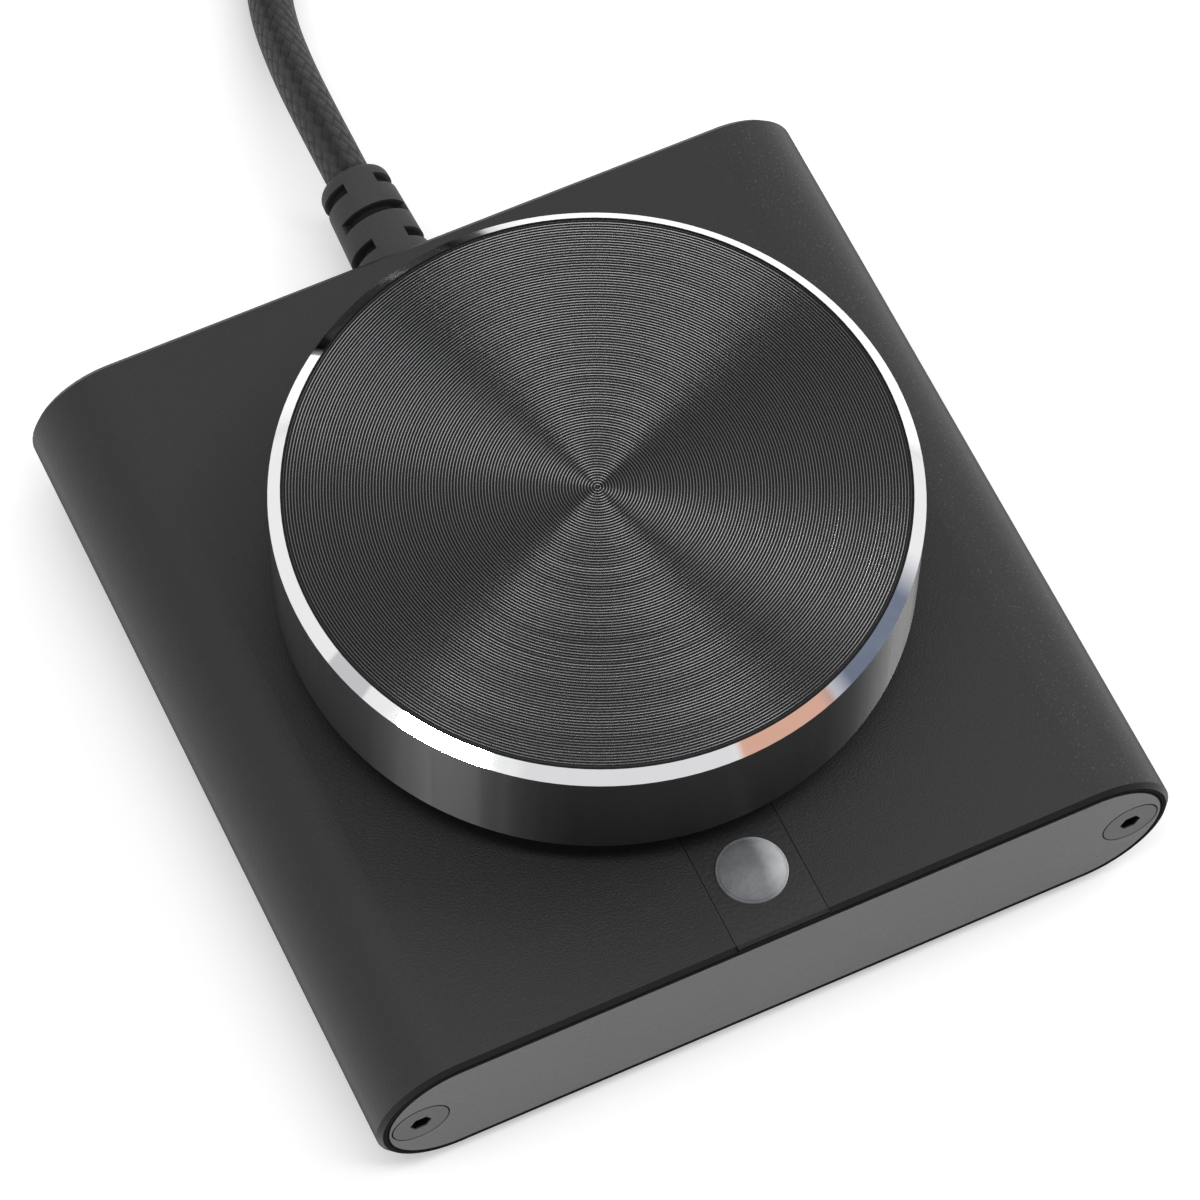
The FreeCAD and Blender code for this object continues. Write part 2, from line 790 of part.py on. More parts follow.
# Encoder cover: folded sheet whose legs go down both sides and through the board
cover_z = roof - s.cover_thickness
cover = body("cover_body")
drawn = sketch(cover, "cover_outline", "XY_Plane", cover_z)
cover_half = half_width + s.cover_thickness
box_outline(drawn, -cover_half, -half_depth, cover_half, half_depth)
pad(cover, "cover_sheet", drawn, s.cover_thickness)
drawn = sketch(cover, "cover_leg_outline", "XY_Plane", cover_z)
leg = s.cover_leg_width / 2
box_outline(drawn, half_width, -leg, cover_half, leg)
box_outline(drawn, -cover_half, -leg, -half_width, leg)
leg_length = cover_z - board_bottom + s.cover_leg_below
pad(cover, "cover_legs", drawn, leg_length, back=True)
drawn = sketch(cover, "cover_hole_outline", "XY_Plane", roof)
disc(drawn, ZERO, ZERO, s.shaft_radius + s.keeper_gap)
pocket(cover, "cover_hole", drawn, s.cover_thickness * 2)
keep_on_axis(cover, "encoder_cover")

# Encoder bushing, which stands through the slot and carries the shaft
bush = body("bushing_body")
drawn = sketch(bush, "bushing_outline", "XZ_Plane")
bore = s.shaft_radius + s.shaft_gap
bush_top = roof + s.bushing_height
outline(drawn, [
    (bore, roof),
    (s.bushing_radius, roof),
    (s.bushing_radius, bush_top - s.bushing_chamfer),
    (s.bushing_radius - s.bushing_chamfer, bush_top),
    (bore, bush_top),
])
revolved(bush, "bushing_turned", drawn)
keep_on_axis(bush, "encoder_bushing")

# Washer and nut that clamp the bushing to the top of the case
thread = s.bushing_radius + s.thread_gap
disc_blank = rod("washer_blank", ZERO, ZERO, case_top, s.washer_radius, s.washer_thickness)
disc_bore = rod("washer_bore", ZERO, ZERO, case_top, thread, s.washer_thickness)
keep_on_axis(cut("washer_ring", disc_blank, disc_bore), "encoder_washer")
nut_z = case_top + s.washer_thickness
hexagon = doc.addObject("Part::Prism", "nut_blank")
hexagon.Polygon = 6
bind(hexagon, Circumradius=s.nut_circle, Height=s.nut_thickness)
place(hexagon, ZERO, ZERO, nut_z)
nut_bore = rod("nut_bore", ZERO, ZERO, nut_z, thread, s.nut_thickness)
keep_on_axis(cut("nut_ring", hexagon, nut_bore), "encoder_nut")

# Encoder terminals: bent pins out of both sides of the housing and down through the board
pins = []
pin_half = s.pin_width / 2
arm_z = board_top + s.pin_rise
for i, (x, y) in enumerate(pin_places):
    side = -1 if y.value < 0 else 1
    low = y - pin_half if side < 0 else half_depth
    arm = block(f"pin_arm_{i}", x - pin_half, low, arm_z,
                s.pin_width, pin_row + pin_half - half_depth, s.pin_width)
    drop_z = board_bottom - s.pin_below
    drop = block(f"pin_drop_{i}", x - pin_half, y - pin_half, drop_z,
                 s.pin_width, s.pin_width, arm_z + s.pin_width - drop_z)
    pins.append(fused(f"pin_{i}", [arm, drop]))
keep_on_axis(group("pin_set", pins), "encoder_terminals")

# Detent wheel: a hub and flange, keyed to the shaft, with radial grooves in its top face
wheel_z = shoulder + s.wheel_gap
hub_top = cover_z - s.wheel_gap
flange_z = wheel_z + s.wheel_lift
flange_top = flange_z + s.wheel_thickness
wheel = body("wheel_body")
drawn = sketch(wheel, "wheel_outline", "XZ_Plane")
outline(drawn, [
    (ZERO, wheel_z),
    (s.wheel_hub_radius, wheel_z),
    (s.wheel_hub_radius, flange_z),
    (s.wheel_radius, flange_z),
    (s.wheel_radius, flange_top),
    (s.wheel_hub_radius, flange_top),
    (s.wheel_hub_radius, hub_top),
    (ZERO, hub_top),
])
revolved(wheel, "wheel_turned", drawn)
drawn = sketch(wheel, "groove_outline", "XY_Plane", flange_top)
box_outline(drawn, s.wheel_hub_radius, -s.groove_width / 2,
            s.wheel_radius + s.overrun, s.groove_width / 2)
groove = pocket(wheel, "detent_groove", drawn, s.groove_depth)
doc.recompute()
around = wheel.newObject("PartDesign::PolarPattern", "detent_grooves")
around.Originals = [groove]
around.Axis = (drawn, ["N_Axis"])
around.Angle = 360
around.Occurrences = DETENTS
wheel.Tip = around
doc.recompute()
drawn = sketch(wheel, "key_outline", "XY_Plane", hub_top)
key_hole = s.key_radius + s.key_gap
disc(drawn, ZERO, ZERO, key_hole)
pocket(wheel, "key_bore", drawn)
drawn = sketch(wheel, "key_flat_outline", "XY_Plane", hub_top)
key_flat = s.key_across - s.key_radius + s.key_gap
box_outline(drawn, key_flat, -s.key_radius, s.key_radius + s.groove_width, s.key_radius)
pad(wheel, "key_flat", drawn, hub_top - wheel_z, back=True)
keep_on_axis(wheel, "encoder_wheel")

# Detent spring: a flat ring held at the housing's wall, with two bumps over the grooves
spring_z = cover_z - s.spring_drop - s.spring_thickness
ring_outer = s.cavity_radius - s.spring_gap
ring = rod("spring_blank", ZERO, ZERO, spring_z, ring_outer, s.spring_thickness)
hole = rod("spring_hole", ZERO, ZERO, spring_z,
           s.wheel_hub_radius + s.spring_drop, s.spring_thickness)
bumps = []
bump_y = (s.wheel_hub_radius + s.spring_drop + ring_outer) / 2
bump_low = flange_top + s.bump_clearance
for i, side in enumerate((-1, 1)):
    bump = doc.addObject("Part::Cone", f"spring_bump_{i}")
    bind(bump, Radius1=s.bump_radius / 2, Radius2=s.bump_radius)
    bind(bump, Height=spring_z + s.spring_thickness - bump_low)
    bumps.append(place(bump, ZERO, side * bump_y, bump_low))
spring = fused("spring_whole", [cut("spring_ring", ring, hole), *bumps])
keep_on_axis(spring, "detent_spring")

# Press switch: a snap dome over its contact, under the end of the shaft
shaft_end = wheel_z - s.keeper_gap - s.keeper_thickness
dome_top = shaft_end - s.dome_gap
foot_in = s.dome_radius - s.dome_foot
crown = foot_in / 2
dome = body("dome_body")
drawn = sketch(dome, "dome_outline", "XZ_Plane")
outline(drawn, [
    (ZERO, dome_top - s.dome_thickness),
    (crown - s.dome_thickness / 2, dome_top - s.dome_thickness),
    (foot_in - s.dome_thickness / 2, well_bottom),
    (s.dome_radius, well_bottom),
    (s.dome_radius, well_bottom + s.dome_thickness),
    (foot_in, well_bottom + s.dome_thickness),
    (crown, dome_top),
    (ZERO, dome_top),
])
revolved(dome, "dome_pressed", drawn)
keep_on_axis(dome, "switch_dome")
contact = rod("contact_disc", ZERO, axis_y, well_bottom, s.contact_radius, s.contact_thickness)
keep(contact, "switch_contact")

# Shaft: a keeper under the wheel, a keyed stem through it and a D-shaped end for the knob
step_z = roof + s.shaft_step
shaft_top = roof + s.shaft_reach
shaft = body("shaft_body")
drawn = sketch(shaft, "shaft_outline", "XZ_Plane")
keeper_top = shaft_end + s.keeper_thickness
outline(drawn, [
    (ZERO, shaft_end),
    (s.keeper_radius, shaft_end),
    (s.keeper_radius, keeper_top),
    (s.key_radius, keeper_top),
    (s.key_radius, step_z),
    (s.shaft_radius, step_z),
    (s.shaft_radius, shaft_top - s.bushing_chamfer),
    (s.shaft_radius - s.bushing_chamfer, shaft_top),
    (ZERO, shaft_top),
])
revolved(shaft, "shaft_turned", drawn)
drawn = sketch(shaft, "flat_outline", "XY_Plane", shaft_top)
box_outline(drawn, s.flat_across - s.shaft_radius, -s.shaft_radius,
            s.shaft_radius + s.overrun, s.shaft_radius)
pocket(shaft, "shaft_flat", drawn, s.flat_length)
drawn = sketch(shaft, "key_side_outline", "XY_Plane", step_z)
box_outline(drawn, s.key_across - s.key_radius, -s.key_radius,
            s.key_radius + s.overrun, s.key_radius)
pocket(shaft, "key_side", drawn, step_z - keeper_top)
keep_on_axis(shaft, "encoder_shaft")

# Knob: turned from bar and hollow below, with a bright chamfer round its top edge
knob_z = case_top + s.knob_gap
knob_top = knob_z + s.knob_height
ceiling = knob_top - s.knob_top
hollow = s.knob_radius - s.knob_wall
knob = body("knob_body")
drawn = sketch(knob, "knob_outline", "XZ_Plane")
outline(drawn, [
    (hollow + s.rim_chamfer, knob_z),
    (s.knob_radius - s.rim_chamfer, knob_z),
    (s.knob_radius, knob_z + s.rim_chamfer),
    (s.knob_radius, knob_top - s.knob_chamfer_height),
    (s.knob_radius - s.knob_chamfer_width, knob_top),
    (ZERO, knob_top),
    (ZERO, ceiling),
    (hollow, ceiling),
    (hollow, knob_z + s.rim_chamfer),
])
revolved(knob, "knob_turned", drawn)
keep_on_axis(knob, "knob_shell")

# Knob insert: a moulded disc with a ring, a boss and ribs, pressed into the knob
hub_z = bush_top + s.press_travel + s.hub_boss_gap
ring_out = hollow - s.hub_fit
ring_in = ring_out - s.hub_ring_wall
web_z = ceiling - s.hub_plate
insert = body("insert_body")
drawn = sketch(insert, "insert_outline", "XZ_Plane")
outline(drawn, [
    (ZERO, ceiling),
    (ring_out, ceiling),
    (ring_out, web_z - s.hub_ring_height),
    (ring_in, web_z - s.hub_ring_height),
    (ring_in, web_z),
    (s.hub_boss_radius, web_z),
    (s.hub_boss_radius, hub_z),
    (ZERO, hub_z),
])
revolved(insert, "insert_turned", drawn)
drawn = sketch(insert, "rib_outline", "XY_Plane", web_z)
rib_half = s.hub_rib_thickness / 2
box_outline(drawn, s.hub_boss_radius - rib_half, -rib_half, ring_in + rib_half, rib_half)
rib = pad(insert, "hub_rib", drawn, s.hub_rib_height, back=True)
doc.recompute()
around = insert.newObject("PartDesign::PolarPattern", "hub_ribs")
around.Originals = [rib]
around.Axis = (drawn, ["N_Axis"])
around.Angle = 360
around.Occurrences = HUB_RIBS
insert.Tip = around
doc.recompute()
drawn = sketch(insert, "shaft_bore_outline", "XY_Plane", hub_z)
disc(drawn, ZERO, ZERO, s.shaft_radius + s.hub_bore_gap)
bore_depth = shaft_top + s.hub_boss_gap / 2 - hub_z
pocket(insert, "shaft_bore", drawn, bore_depth, back=True)
drawn = sketch(insert, "bore_flat_outline", "XY_Plane", hub_z)
bore_flat = s.flat_across - s.shaft_radius + s.hub_bore_gap
box_outline(drawn, bore_flat, -s.shaft_radius, s.shaft_radius + s.groove_width, s.shaft_radius)
pad(insert, "bore_flat", drawn, ceiling - hub_z)
keep_on_axis(insert, "knob_hub")

# Strain relief: moulded on the cable, gripping the rear plate, with staggered slots
relief_tip = rear + s.relief_length
grip_in = rear - s.plate_thickness
relief = body("relief_body")
drawn = sketch(relief, "relief_outline", "YZ_Plane", ZERO, cord_z)
outline(drawn, [
    (flange_in, ZERO),
    (relief_tip, ZERO),
    (relief_tip, s.relief_end_radius),
    (rear, s.relief_base_radius),
    (rear, s.relief_neck_radius),
    (grip_in, s.relief_neck_radius),
    (grip_in, s.relief_flange_radius),
    (flange_in, s.relief_flange_radius),
])
blank = revolved(relief, "relief_blank", drawn, "H_Axis")
dressed(relief, "Fillet", "relief_shoulder", blank,
        lambda box: box.YMin > relief_tip.value - s.overrun.value / 100, s.relief_round)


def relief_slots(name, plane, rows):
    """Two opposite slots, cut part of the way round, in each of the rows."""
    drawn = sketch(relief, f"{name}_outline", plane, *offsets[plane])
    deep = s.relief_core_radius
    wide = s.relief_base_radius + s.overrun
    for row in rows:
        middle = rear + s.relief_first_slot + row * s.relief_slot_pitch
        low, high = middle - s.relief_slot / 2, middle + s.relief_slot / 2
        for near, far in ((deep, wide), (-wide, -deep)):
            if plane == "YZ_Plane":
                box_outline(drawn, low, near, high, far)
            else:
                box_outline(drawn, near, low, far, high)
    made = feature(relief, "Groove", name, drawn)
    made.ReferenceAxis = (drawn, ["H_Axis" if plane == "YZ_Plane" else "V_Axis"])
    made.Angle = RELIEF_SLOT_ANGLE
    made.Midplane = True


offsets = {"YZ_Plane": (ZERO, cord_z), "XY_Plane": (cord_z, ZERO)}
relief_slots("upper_slots", "YZ_Plane", range(0, RELIEF_ROWS, 2))
relief_slots("side_slots", "XY_Plane", range(1, RELIEF_ROWS, 2))
keep(relief, "strain_relief")

# The end of the cable's sheath inside the case
sheath = rod("sheath_end", ZERO, flange_in, cord_z, s.cord_radius, s.cable_end_length, AGAINST_Y)
keep(sheath, "cable_end")

# Board connector: an open-ended socket and the plug in it
socket_front = rear - s.socket_y
outside = block("socket_outside", s.socket_x - s.socket_width / 2, socket_front, board_top,
                s.socket_width, s.socket_length, s.socket_height)
room_width = s.socket_width - 2 * s.socket_wall
room_height = s.socket_height - 2 * s.socket_wall
room = block("socket_room", s.socket_x - room_width / 2, socket_front + s.socket_wall,
             board_top + s.socket_wall, room_width, s.socket_length, room_height)
keep(cut("socket_cut", outside, room), "wire_socket")
fit = s.plug_fit
plug_z = board_top + s.socket_wall + fit
plug_back = socket_front + s.socket_length + s.plug_stand_out
plug_front = socket_front + s.socket_wall + fit
plug = block("wire_plug_block", s.socket_x + fit - room_width / 2, plug_front, plug_z,
             room_width - 2 * fit, plug_back - plug_front, room_height - 2 * fit)
keep(plug, "wire_plug")


def part_feature(name, shape):
    made = doc.addObject("Part::Feature", name)
    made.Shape = shape
    return made


def bent_path(points, end_share=BEND_SHARE):
    """Straight runs through the points, joined by tangent arcs as large as the runs allow."""
    edges, radii = [], []
    start = points[0]
    for i, (before, corner, after) in enumerate(zip(points, points[1:], points[2:])):
        back, ahead = before - corner, after - corner
        back_share = end_share if i == 0 else BEND_SHARE
        ahead_share = end_share if i == len(points) - 3 else BEND_SHARE
        turn = math.pi - back.getAngle(ahead)
        cut_back = min(back.Length * back_share, ahead.Length * ahead_share)
        radius = cut_back / math.tan(turn / 2)
        into = back.normalize()
        out = ahead.normalize()
        first = corner + into * cut_back
        last = corner + out * cut_back
        middle_way = (into + out).normalize()
        to_centre = radius / math.cos(turn / 2)
        middle = corner + middle_way * (to_centre - radius)
        edges.append(Part.LineSegment(start, first).toShape())
        edges.append(Part.Arc(first, middle, last).toShape())
        start = last
        radii.append(radius)
    edges.append(Part.LineSegment(start, points[-1]).toShape())
    return Part.Wire(edges), radii


def tube(path, radius, start, heading):
    """A solid cord along the path, its round section drawn with flat sides on the round."""
    across = heading.cross(Vector(0, 0, 1)).normalize()
    up = across.cross(heading).normalize()
    corner = radius / math.cos(math.pi / CORD_SIDES)
    ring = []
    for i in range(CORD_SIDES + 1):
        angle = math.tau * (i + 0.5) / CORD_SIDES
        ring.append(start + across * (corner * math.cos(angle)) + up * (corner * math.sin(angle)))
    return path.makePipeShell([Part.makePolygon(ring)], True, False)


def section_area(radius):
    return CORD_SIDES * radius * radius * math.tan(math.pi / CORD_SIDES)


# Conductors from the end of the sheath, up over the board and across to the connector
wires = []
wire_level = plug_z + room_height / 2 - fit
turn_y = sheath_face - s.wire_turn_y
lean_out = Vector(plug_back.value + s.wire_in.value - turn_y.value,
                  s.wire_turn_x.value - s.socket_x.value, 0).normalize()
spread_shares = [(-1, 1), (-1, -1), (1, -1), (1, 1)]
for i, (across_share, up_share) in enumerate(spread_shares):
    rise = Vector(0, 0, up_share * s.wire_spread.value)
    start = Vector(across_share * s.wire_spread.value, sheath_face.value, cord_z.value) + rise
    turn = Vector(s.wire_turn_x.value, turn_y.value, wire_level.value) + rise
    turn -= lean_out * (across_share * s.wire_spread.value)
    x = s.socket_x + (i - (len(spread_shares) - 1) / 2) * s.wire_pitch
    end = Vector(x.value, plug_back.value, wire_level.value)
    out = Vector(0, -s.wire_out.value, 0)
    back = Vector(0, s.wire_in.value + i * s.wire_stagger.value, 0)
    path, radii = bent_path([start, start + out, turn, end + back, end], WIRE_END_SHARE)
    wires.append(tube(path, s.wire_radius.value, start, out))
    print("wire", i, "radii", [round(r, 1) for r in radii])
keep(part_feature("wire_set", Part.makeCompound(wires)), "inner_wires")


def length_of(wire):
    return sum(edge.Length for edge in wire.Edges)


def cord_tube(name, path, points, radii):
    """A stretch of cable, with its radii and volume printed beside its section times length."""
    heading = points[1] - points[0]
    shape = tube(path, s.cord_radius.value, points[0], heading)
    expected = section_area(s.cord_radius.value) * length_of(path)
    print(name, "radii", [round(r, 1) for r in radii], "length", round(length_of(path), 1),
          "volume", round(shape.Volume, 1), "expected", round(expected, 1))
    keep(part_feature(f"{name}_tube", shape), name)


# Free cable from the strain relief to the coil
lead_points = [Vector(*point) for point in LEAD_ROUTE]
lead_path, radii = bent_path(lead_points)
cord_tube("cord_lead", lead_path, lead_points, radii)

# Coil of spare cable: four layers that spiral in, out, in and out again,
# and climb a layer in the half turn where the spiral turns back
lead_heading = (lead_points[-1] - lead_points[-2]).normalize()
pass_turns = (COIL_TURNS - (COIL_PASSES - 1) / 2) / COIL_PASSES
swing = s.coil_pitch / math.tau
lean = math.atan2(s.coil_pitch.value, math.tau * s.coil_radius.value)
start_angle = math.atan2(lead_heading.y, lead_heading.x) - math.pi / 2 - lean
coil_start = lead_points[-1] + lead_heading * (2 * s.cord_radius.value)
radial = Vector(math.cos(start_angle), math.sin(start_angle), 0)
coil_middle = coil_start - radial * s.coil_radius.value
first_level = s.tie_thickness + s.tie_gap + s.cord_radius


def coil_point(turn):
    """A point of the coil's middle line, so many turns from its start."""
    stage, radius, level = 0, s.coil_radius.value, first_level.value
    left = turn
    inward = True
    while stage < COIL_PASSES:
        run = min(left, pass_turns)
        radius += (-run if inward else run) * s.coil_pitch.value
        left -= run
        stage += 1
        if left <= 0 or stage == COIL_PASSES:
            break
        climb = min(left, 0.5)
        share = climb / 0.5
        level += s.coil_pitch.value * share * share * (3 - 2 * share)
        left -= climb
        if left <= 0:
            radius += (-1 if inward else 1) * swing.value * math.sin(math.pi * share)
            break
        inward = not inward
    angle = start_angle + math.tau * turn
    spot = Vector(radius * math.cos(angle), radius * math.sin(angle), 0)
    return Vector(coil_middle.x, coil_middle.y, level) + spot


def coil_heading(turn):
    step = 0.001
    low, high = max(turn - step, 0), min(turn + step, COIL_TURNS)
    return (coil_point(high) - coil_point(low)).normalize()


def two_arcs(start, start_way, end, end_way):
    """A pair of arcs that leave and arrive in the given directions."""
    gap = end - start
    both = start_way + end_way
    a = 2 * (1 - start_way.dot(end_way))
    b = 2 * gap.dot(both)
    c = -gap.dot(gap)
    reach = (-b + math.sqrt(b * b - 4 * a * c)) / (2 * a)
    first = start + start_way * reach
    second = end - end_way * reach
    join = (first + second) * 0.5
    arcs = []
    for p, corner, q in ((start, first, join), (join, second, end)):
        into, out = (p - corner), (q - corner)
        cut_back = into.Length
        turn = math.pi - into.getAngle(out)
        radius = cut_back / math.tan(turn / 2)
        middle_way = (into + out).normalize()
        middle = corner + middle_way * (radius / math.cos(turn / 2) - radius)
        arcs.append(Part.Arc(p, middle, q).toShape())
    return arcs


quarters = round(COIL_TURNS * 4)
stops = [COIL_TURNS * i / quarters for i in range(quarters + 1)]
edges = [Part.LineSegment(lead_points[-1], coil_start).toShape()]
for low, high in zip(stops, stops[1:]):
    start_way = lead_heading if low == 0 else coil_heading(low)
    edges += two_arcs(coil_point(low), start_way, coil_point(high), coil_heading(high))
coil_end = coil_point(COIL_TURNS)
coil_way = coil_heading(COIL_TURNS)
tail_start = coil_end + coil_way * (2 * s.cord_radius.value)
edges.append(Part.LineSegment(coil_end, tail_start).toShape())
coil_path = Part.Wire(edges)
coil_shape = tube(coil_path, s.cord_radius.value, lead_points[-1], lead_heading)
keep(part_feature("coil_tube", coil_shape), "cord_coil")
samples = [coil_point(COIL_TURNS * i / 900) for i in range(901)]
apart = 900 * 0.6 / COIL_TURNS
least = min(
    (samples[i] - samples[j]).Length
    for i in range(len(samples))
    for j in range(i + round(apart), len(samples))
)
expected = section_area(s.cord_radius.value) * length_of(coil_path)
corners_apart = least - 2 * s.cord_radius.value / math.cos(math.pi / CORD_SIDES)
print("cord_coil length", round(length_of(coil_path), 1), "volume", round(coil_shape.Volume, 1),
      "expected", round(expected, 1), "least gap", round(corners_apart, 2),
      "middle", coil_middle, "end", coil_end, "way", coil_way)

# Free cable from the coil to the plug
tail_points = [tail_start, tail_start + coil_way * (3 * s.cord_radius.value)]
tail_points += [Vector(*point) for point in TAIL_ROUTE]
tail_path, radii = bent_path(tail_points)
cord_tube("cord_tail", tail_path, tail_points, radii)
total = length_of(lead_path) + length_of(coil_path) + length_of(tail_path)
print("free cable in all", round(total, 1))

# Tie: a band round the bundle of turns
tie = body("tie_body")
drawn = sketch(tie, "tie_outline", "XZ_Plane", -s.tie_width / 2)
inner_turn = s.coil_radius - pass_turns * s.coil_pitch - swing
eye = inner_turn - s.cord_radius
tie_in = eye - s.tie_width * s.tie_width / (8 * eye) - s.tie_gap
tie_out = s.coil_radius + swing + s.cord_radius + s.tie_gap
tie_top = first_level + (COIL_PASSES - 1) * s.coil_pitch + s.cord_radius + s.tie_gap
band = s.tie_thickness
box_outline(drawn, tie_in - band, ZERO, tie_out + band, tie_top + band)
blank = pad(tie, "tie_block", drawn, s.tie_width, back=True)
dressed(tie, "Fillet", "tie_corners", blank,
        lambda box: box.YLength > s.tie_width.value * 0.9, s.tie_round)
drawn = sketch(tie, "tie_opening", "XZ_Plane", -s.tie_width / 2)
box_outline(drawn, tie_in, band, tie_out, tie_top)
pocket(tie, "tie_hollow", drawn)
tie.Placement = Placement(Vector(coil_middle.x, coil_middle.y, 0),
                          Rotation(Vector(0, 0, 1), TIE_ANGLE))
keep(tie, "coil_tie")

# USB plug, built along its own X from the cable's end and turned to lie along -X
plug_at = tail_points[-1]
plug_turn = Rotation(Vector(0, 0, 1), 180)


def put_plug(made):
    made.Placement = Placement(plug_at, plug_turn)
    return made


grip_end = s.grip_taper_length + s.grip_length
grip = body("grip_body")
drawn = sketch(grip, "grip_outline", "YZ_Plane", s.grip_taper_length)
half = s.grip_width / 2
tall = s.grip_height / 2
box_outline(drawn, -half, -tall, half, tall)
blank = pad(grip, "grip_block", drawn, s.grip_length)
dressed(grip, "Fillet", "grip_edges", blank,
        lambda box: box.XLength > s.grip_length.value * 0.9, s.grip_round)
doc.recompute()
wide_end = sketch(grip, "neck_wide_outline", "YZ_Plane", s.grip_taper_length)
shrink = s.grip_round / 2
box_outline(wide_end, shrink - half, shrink - tall, half - shrink, tall - shrink)
thin_end = sketch(grip, "neck_thin_outline", "YZ_Plane")
neck_half = s.grip_neck_width / 2
neck_tall = s.grip_neck_height / 2
box_outline(thin_end, -neck_half, -neck_tall, neck_half, neck_tall)
neck = grip.newObject("PartDesign::AdditiveLoft", "grip_neck")
neck.Profile = wide_end
neck.Sections = [thin_end]
neck.Ruled = True
doc.recompute()
shell_at = grip_end - s.shell_set_in
drawn = sketch(grip, "shell_seat_outline", "YZ_Plane", grip_end)
shell_half = s.shell_width / 2
shell_tall = s.shell_height / 2
box_outline(drawn, -shell_half, -shell_tall, shell_half, shell_tall)
pocket(grip, "shell_seat", drawn, s.shell_set_in)
keep(put_plug(grip), "plug_overmould")

shell = body("shell_body")
drawn = sketch(shell, "shell_outline", "YZ_Plane", shell_at)
box_outline(drawn, -shell_half, -shell_tall, shell_half, shell_tall)
blank = pad(shell, "shell_block", drawn, s.shell_length)
drawn = sketch(shell, "shell_room", "YZ_Plane", shell_at + s.shell_length)
room_half = shell_half - s.shell_wall
room_tall = shell_tall - s.shell_wall
box_outline(drawn, -room_half, -room_tall, room_half, room_tall)
pocket(shell, "shell_hollow", drawn, s.shell_length - s.shell_wall)
drawn = sketch(shell, "window_outline", "XY_Plane", shell_tall)
window_x = shell_at + s.shell_length - s.window_place
for side in (-1, 1):
    middle = side * s.window_spacing / 2
    edge = s.window_size / 2
    box_outline(drawn, window_x - edge, middle - edge, window_x + edge, middle + edge)
pocket(shell, "latch_windows", drawn)
keep(put_plug(shell), "plug_shell")

tongue_x = shell_at + s.shell_wall
tongue_length = s.shell_length - s.shell_wall - s.tongue_short
tongue_low = s.tongue_fit - room_tall
tongue = block("tongue_block", tongue_x, s.tongue_fit - room_half, tongue_low,
               tongue_length, 2 * (room_half - s.tongue_fit), s.tongue_thickness)
keep(put_plug(group("tongue_piece", [tongue])), "plug_tongue")
strips = []
for i in range(4):
    y = (i - 1.5) * s.contact_strip_pitch - s.contact_strip_width / 2
    strips.append(block(f"contact_strip_{i}", tongue_x + s.tongue_short, y,
                        tongue_low + s.tongue_thickness, tongue_length - 2 * s.tongue_short,
                        s.contact_strip_width, s.contact_strip_thickness))
keep(put_plug(group("strip_set", strips)), "plug_contacts")

doc.recompute()

for thing in doc.Objects:
    if {"Invalid", "Error"} & set(thing.State):
        raise RuntimeError(f"{thing.Label} failed: {thing.State}")
for thing in nodes:
    if thing.Shape.isNull() or not thing.Shape.isValid():
        raise RuntimeError(f"{thing.Label} has no valid shape")

os.makedirs("parts", exist_ok=True)
for thing in nodes:
    thing.Shape.exportStep(f"parts/{thing.Label}.step")
print(len(nodes), "pieces written")
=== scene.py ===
import bmesh
import bpy
import json
import math
from mathutils import Matrix, Vector

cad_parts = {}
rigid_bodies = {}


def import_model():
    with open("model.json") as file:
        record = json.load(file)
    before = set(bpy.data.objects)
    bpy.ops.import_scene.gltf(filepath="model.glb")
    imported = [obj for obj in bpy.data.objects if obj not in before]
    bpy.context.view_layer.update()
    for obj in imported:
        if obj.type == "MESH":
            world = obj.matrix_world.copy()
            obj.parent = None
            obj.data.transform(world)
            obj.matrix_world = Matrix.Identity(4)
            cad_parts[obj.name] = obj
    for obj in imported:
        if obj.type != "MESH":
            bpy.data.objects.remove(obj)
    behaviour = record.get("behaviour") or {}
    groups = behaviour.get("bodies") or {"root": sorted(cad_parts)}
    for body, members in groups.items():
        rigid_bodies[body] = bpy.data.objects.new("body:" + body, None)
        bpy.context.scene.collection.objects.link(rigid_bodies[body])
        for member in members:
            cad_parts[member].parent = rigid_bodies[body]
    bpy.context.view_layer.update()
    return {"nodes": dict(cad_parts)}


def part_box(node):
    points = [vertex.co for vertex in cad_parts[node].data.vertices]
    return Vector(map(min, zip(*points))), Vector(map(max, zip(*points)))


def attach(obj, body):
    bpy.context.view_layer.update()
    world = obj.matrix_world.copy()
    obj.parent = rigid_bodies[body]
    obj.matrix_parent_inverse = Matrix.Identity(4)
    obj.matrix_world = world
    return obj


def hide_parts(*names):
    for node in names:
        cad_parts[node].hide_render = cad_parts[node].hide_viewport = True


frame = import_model()

# Camera: a long lens above the front left corner of the case,
# as far off and as tilted as the photograph's.
camera_data = bpy.data.cameras.new("camera")
camera_data.sensor_width = 36
camera_data.lens = 186.8138
camera_data.clip_start = 0.02
camera_data.clip_end = 20
camera = bpy.data.objects.new("camera", camera_data)
bpy.context.scene.collection.objects.link(camera)
camera_right = Vector((0.90360253, -0.42794707, 0.01907265))
camera_up = Vector((0.36753421, 0.79737454, 0.47865693))
camera_back = Vector((-0.22004787, -0.42550576, 0.87779484))
turned = Matrix((camera_right, camera_up, camera_back)).transposed().to_4x4()
camera.matrix_world = Matrix.Translation((-0.1029, -0.2001, 0.4231)) @ turned
bpy.context.scene.camera = camera
bpy.context.scene.view_settings.view_transform = "Standard"

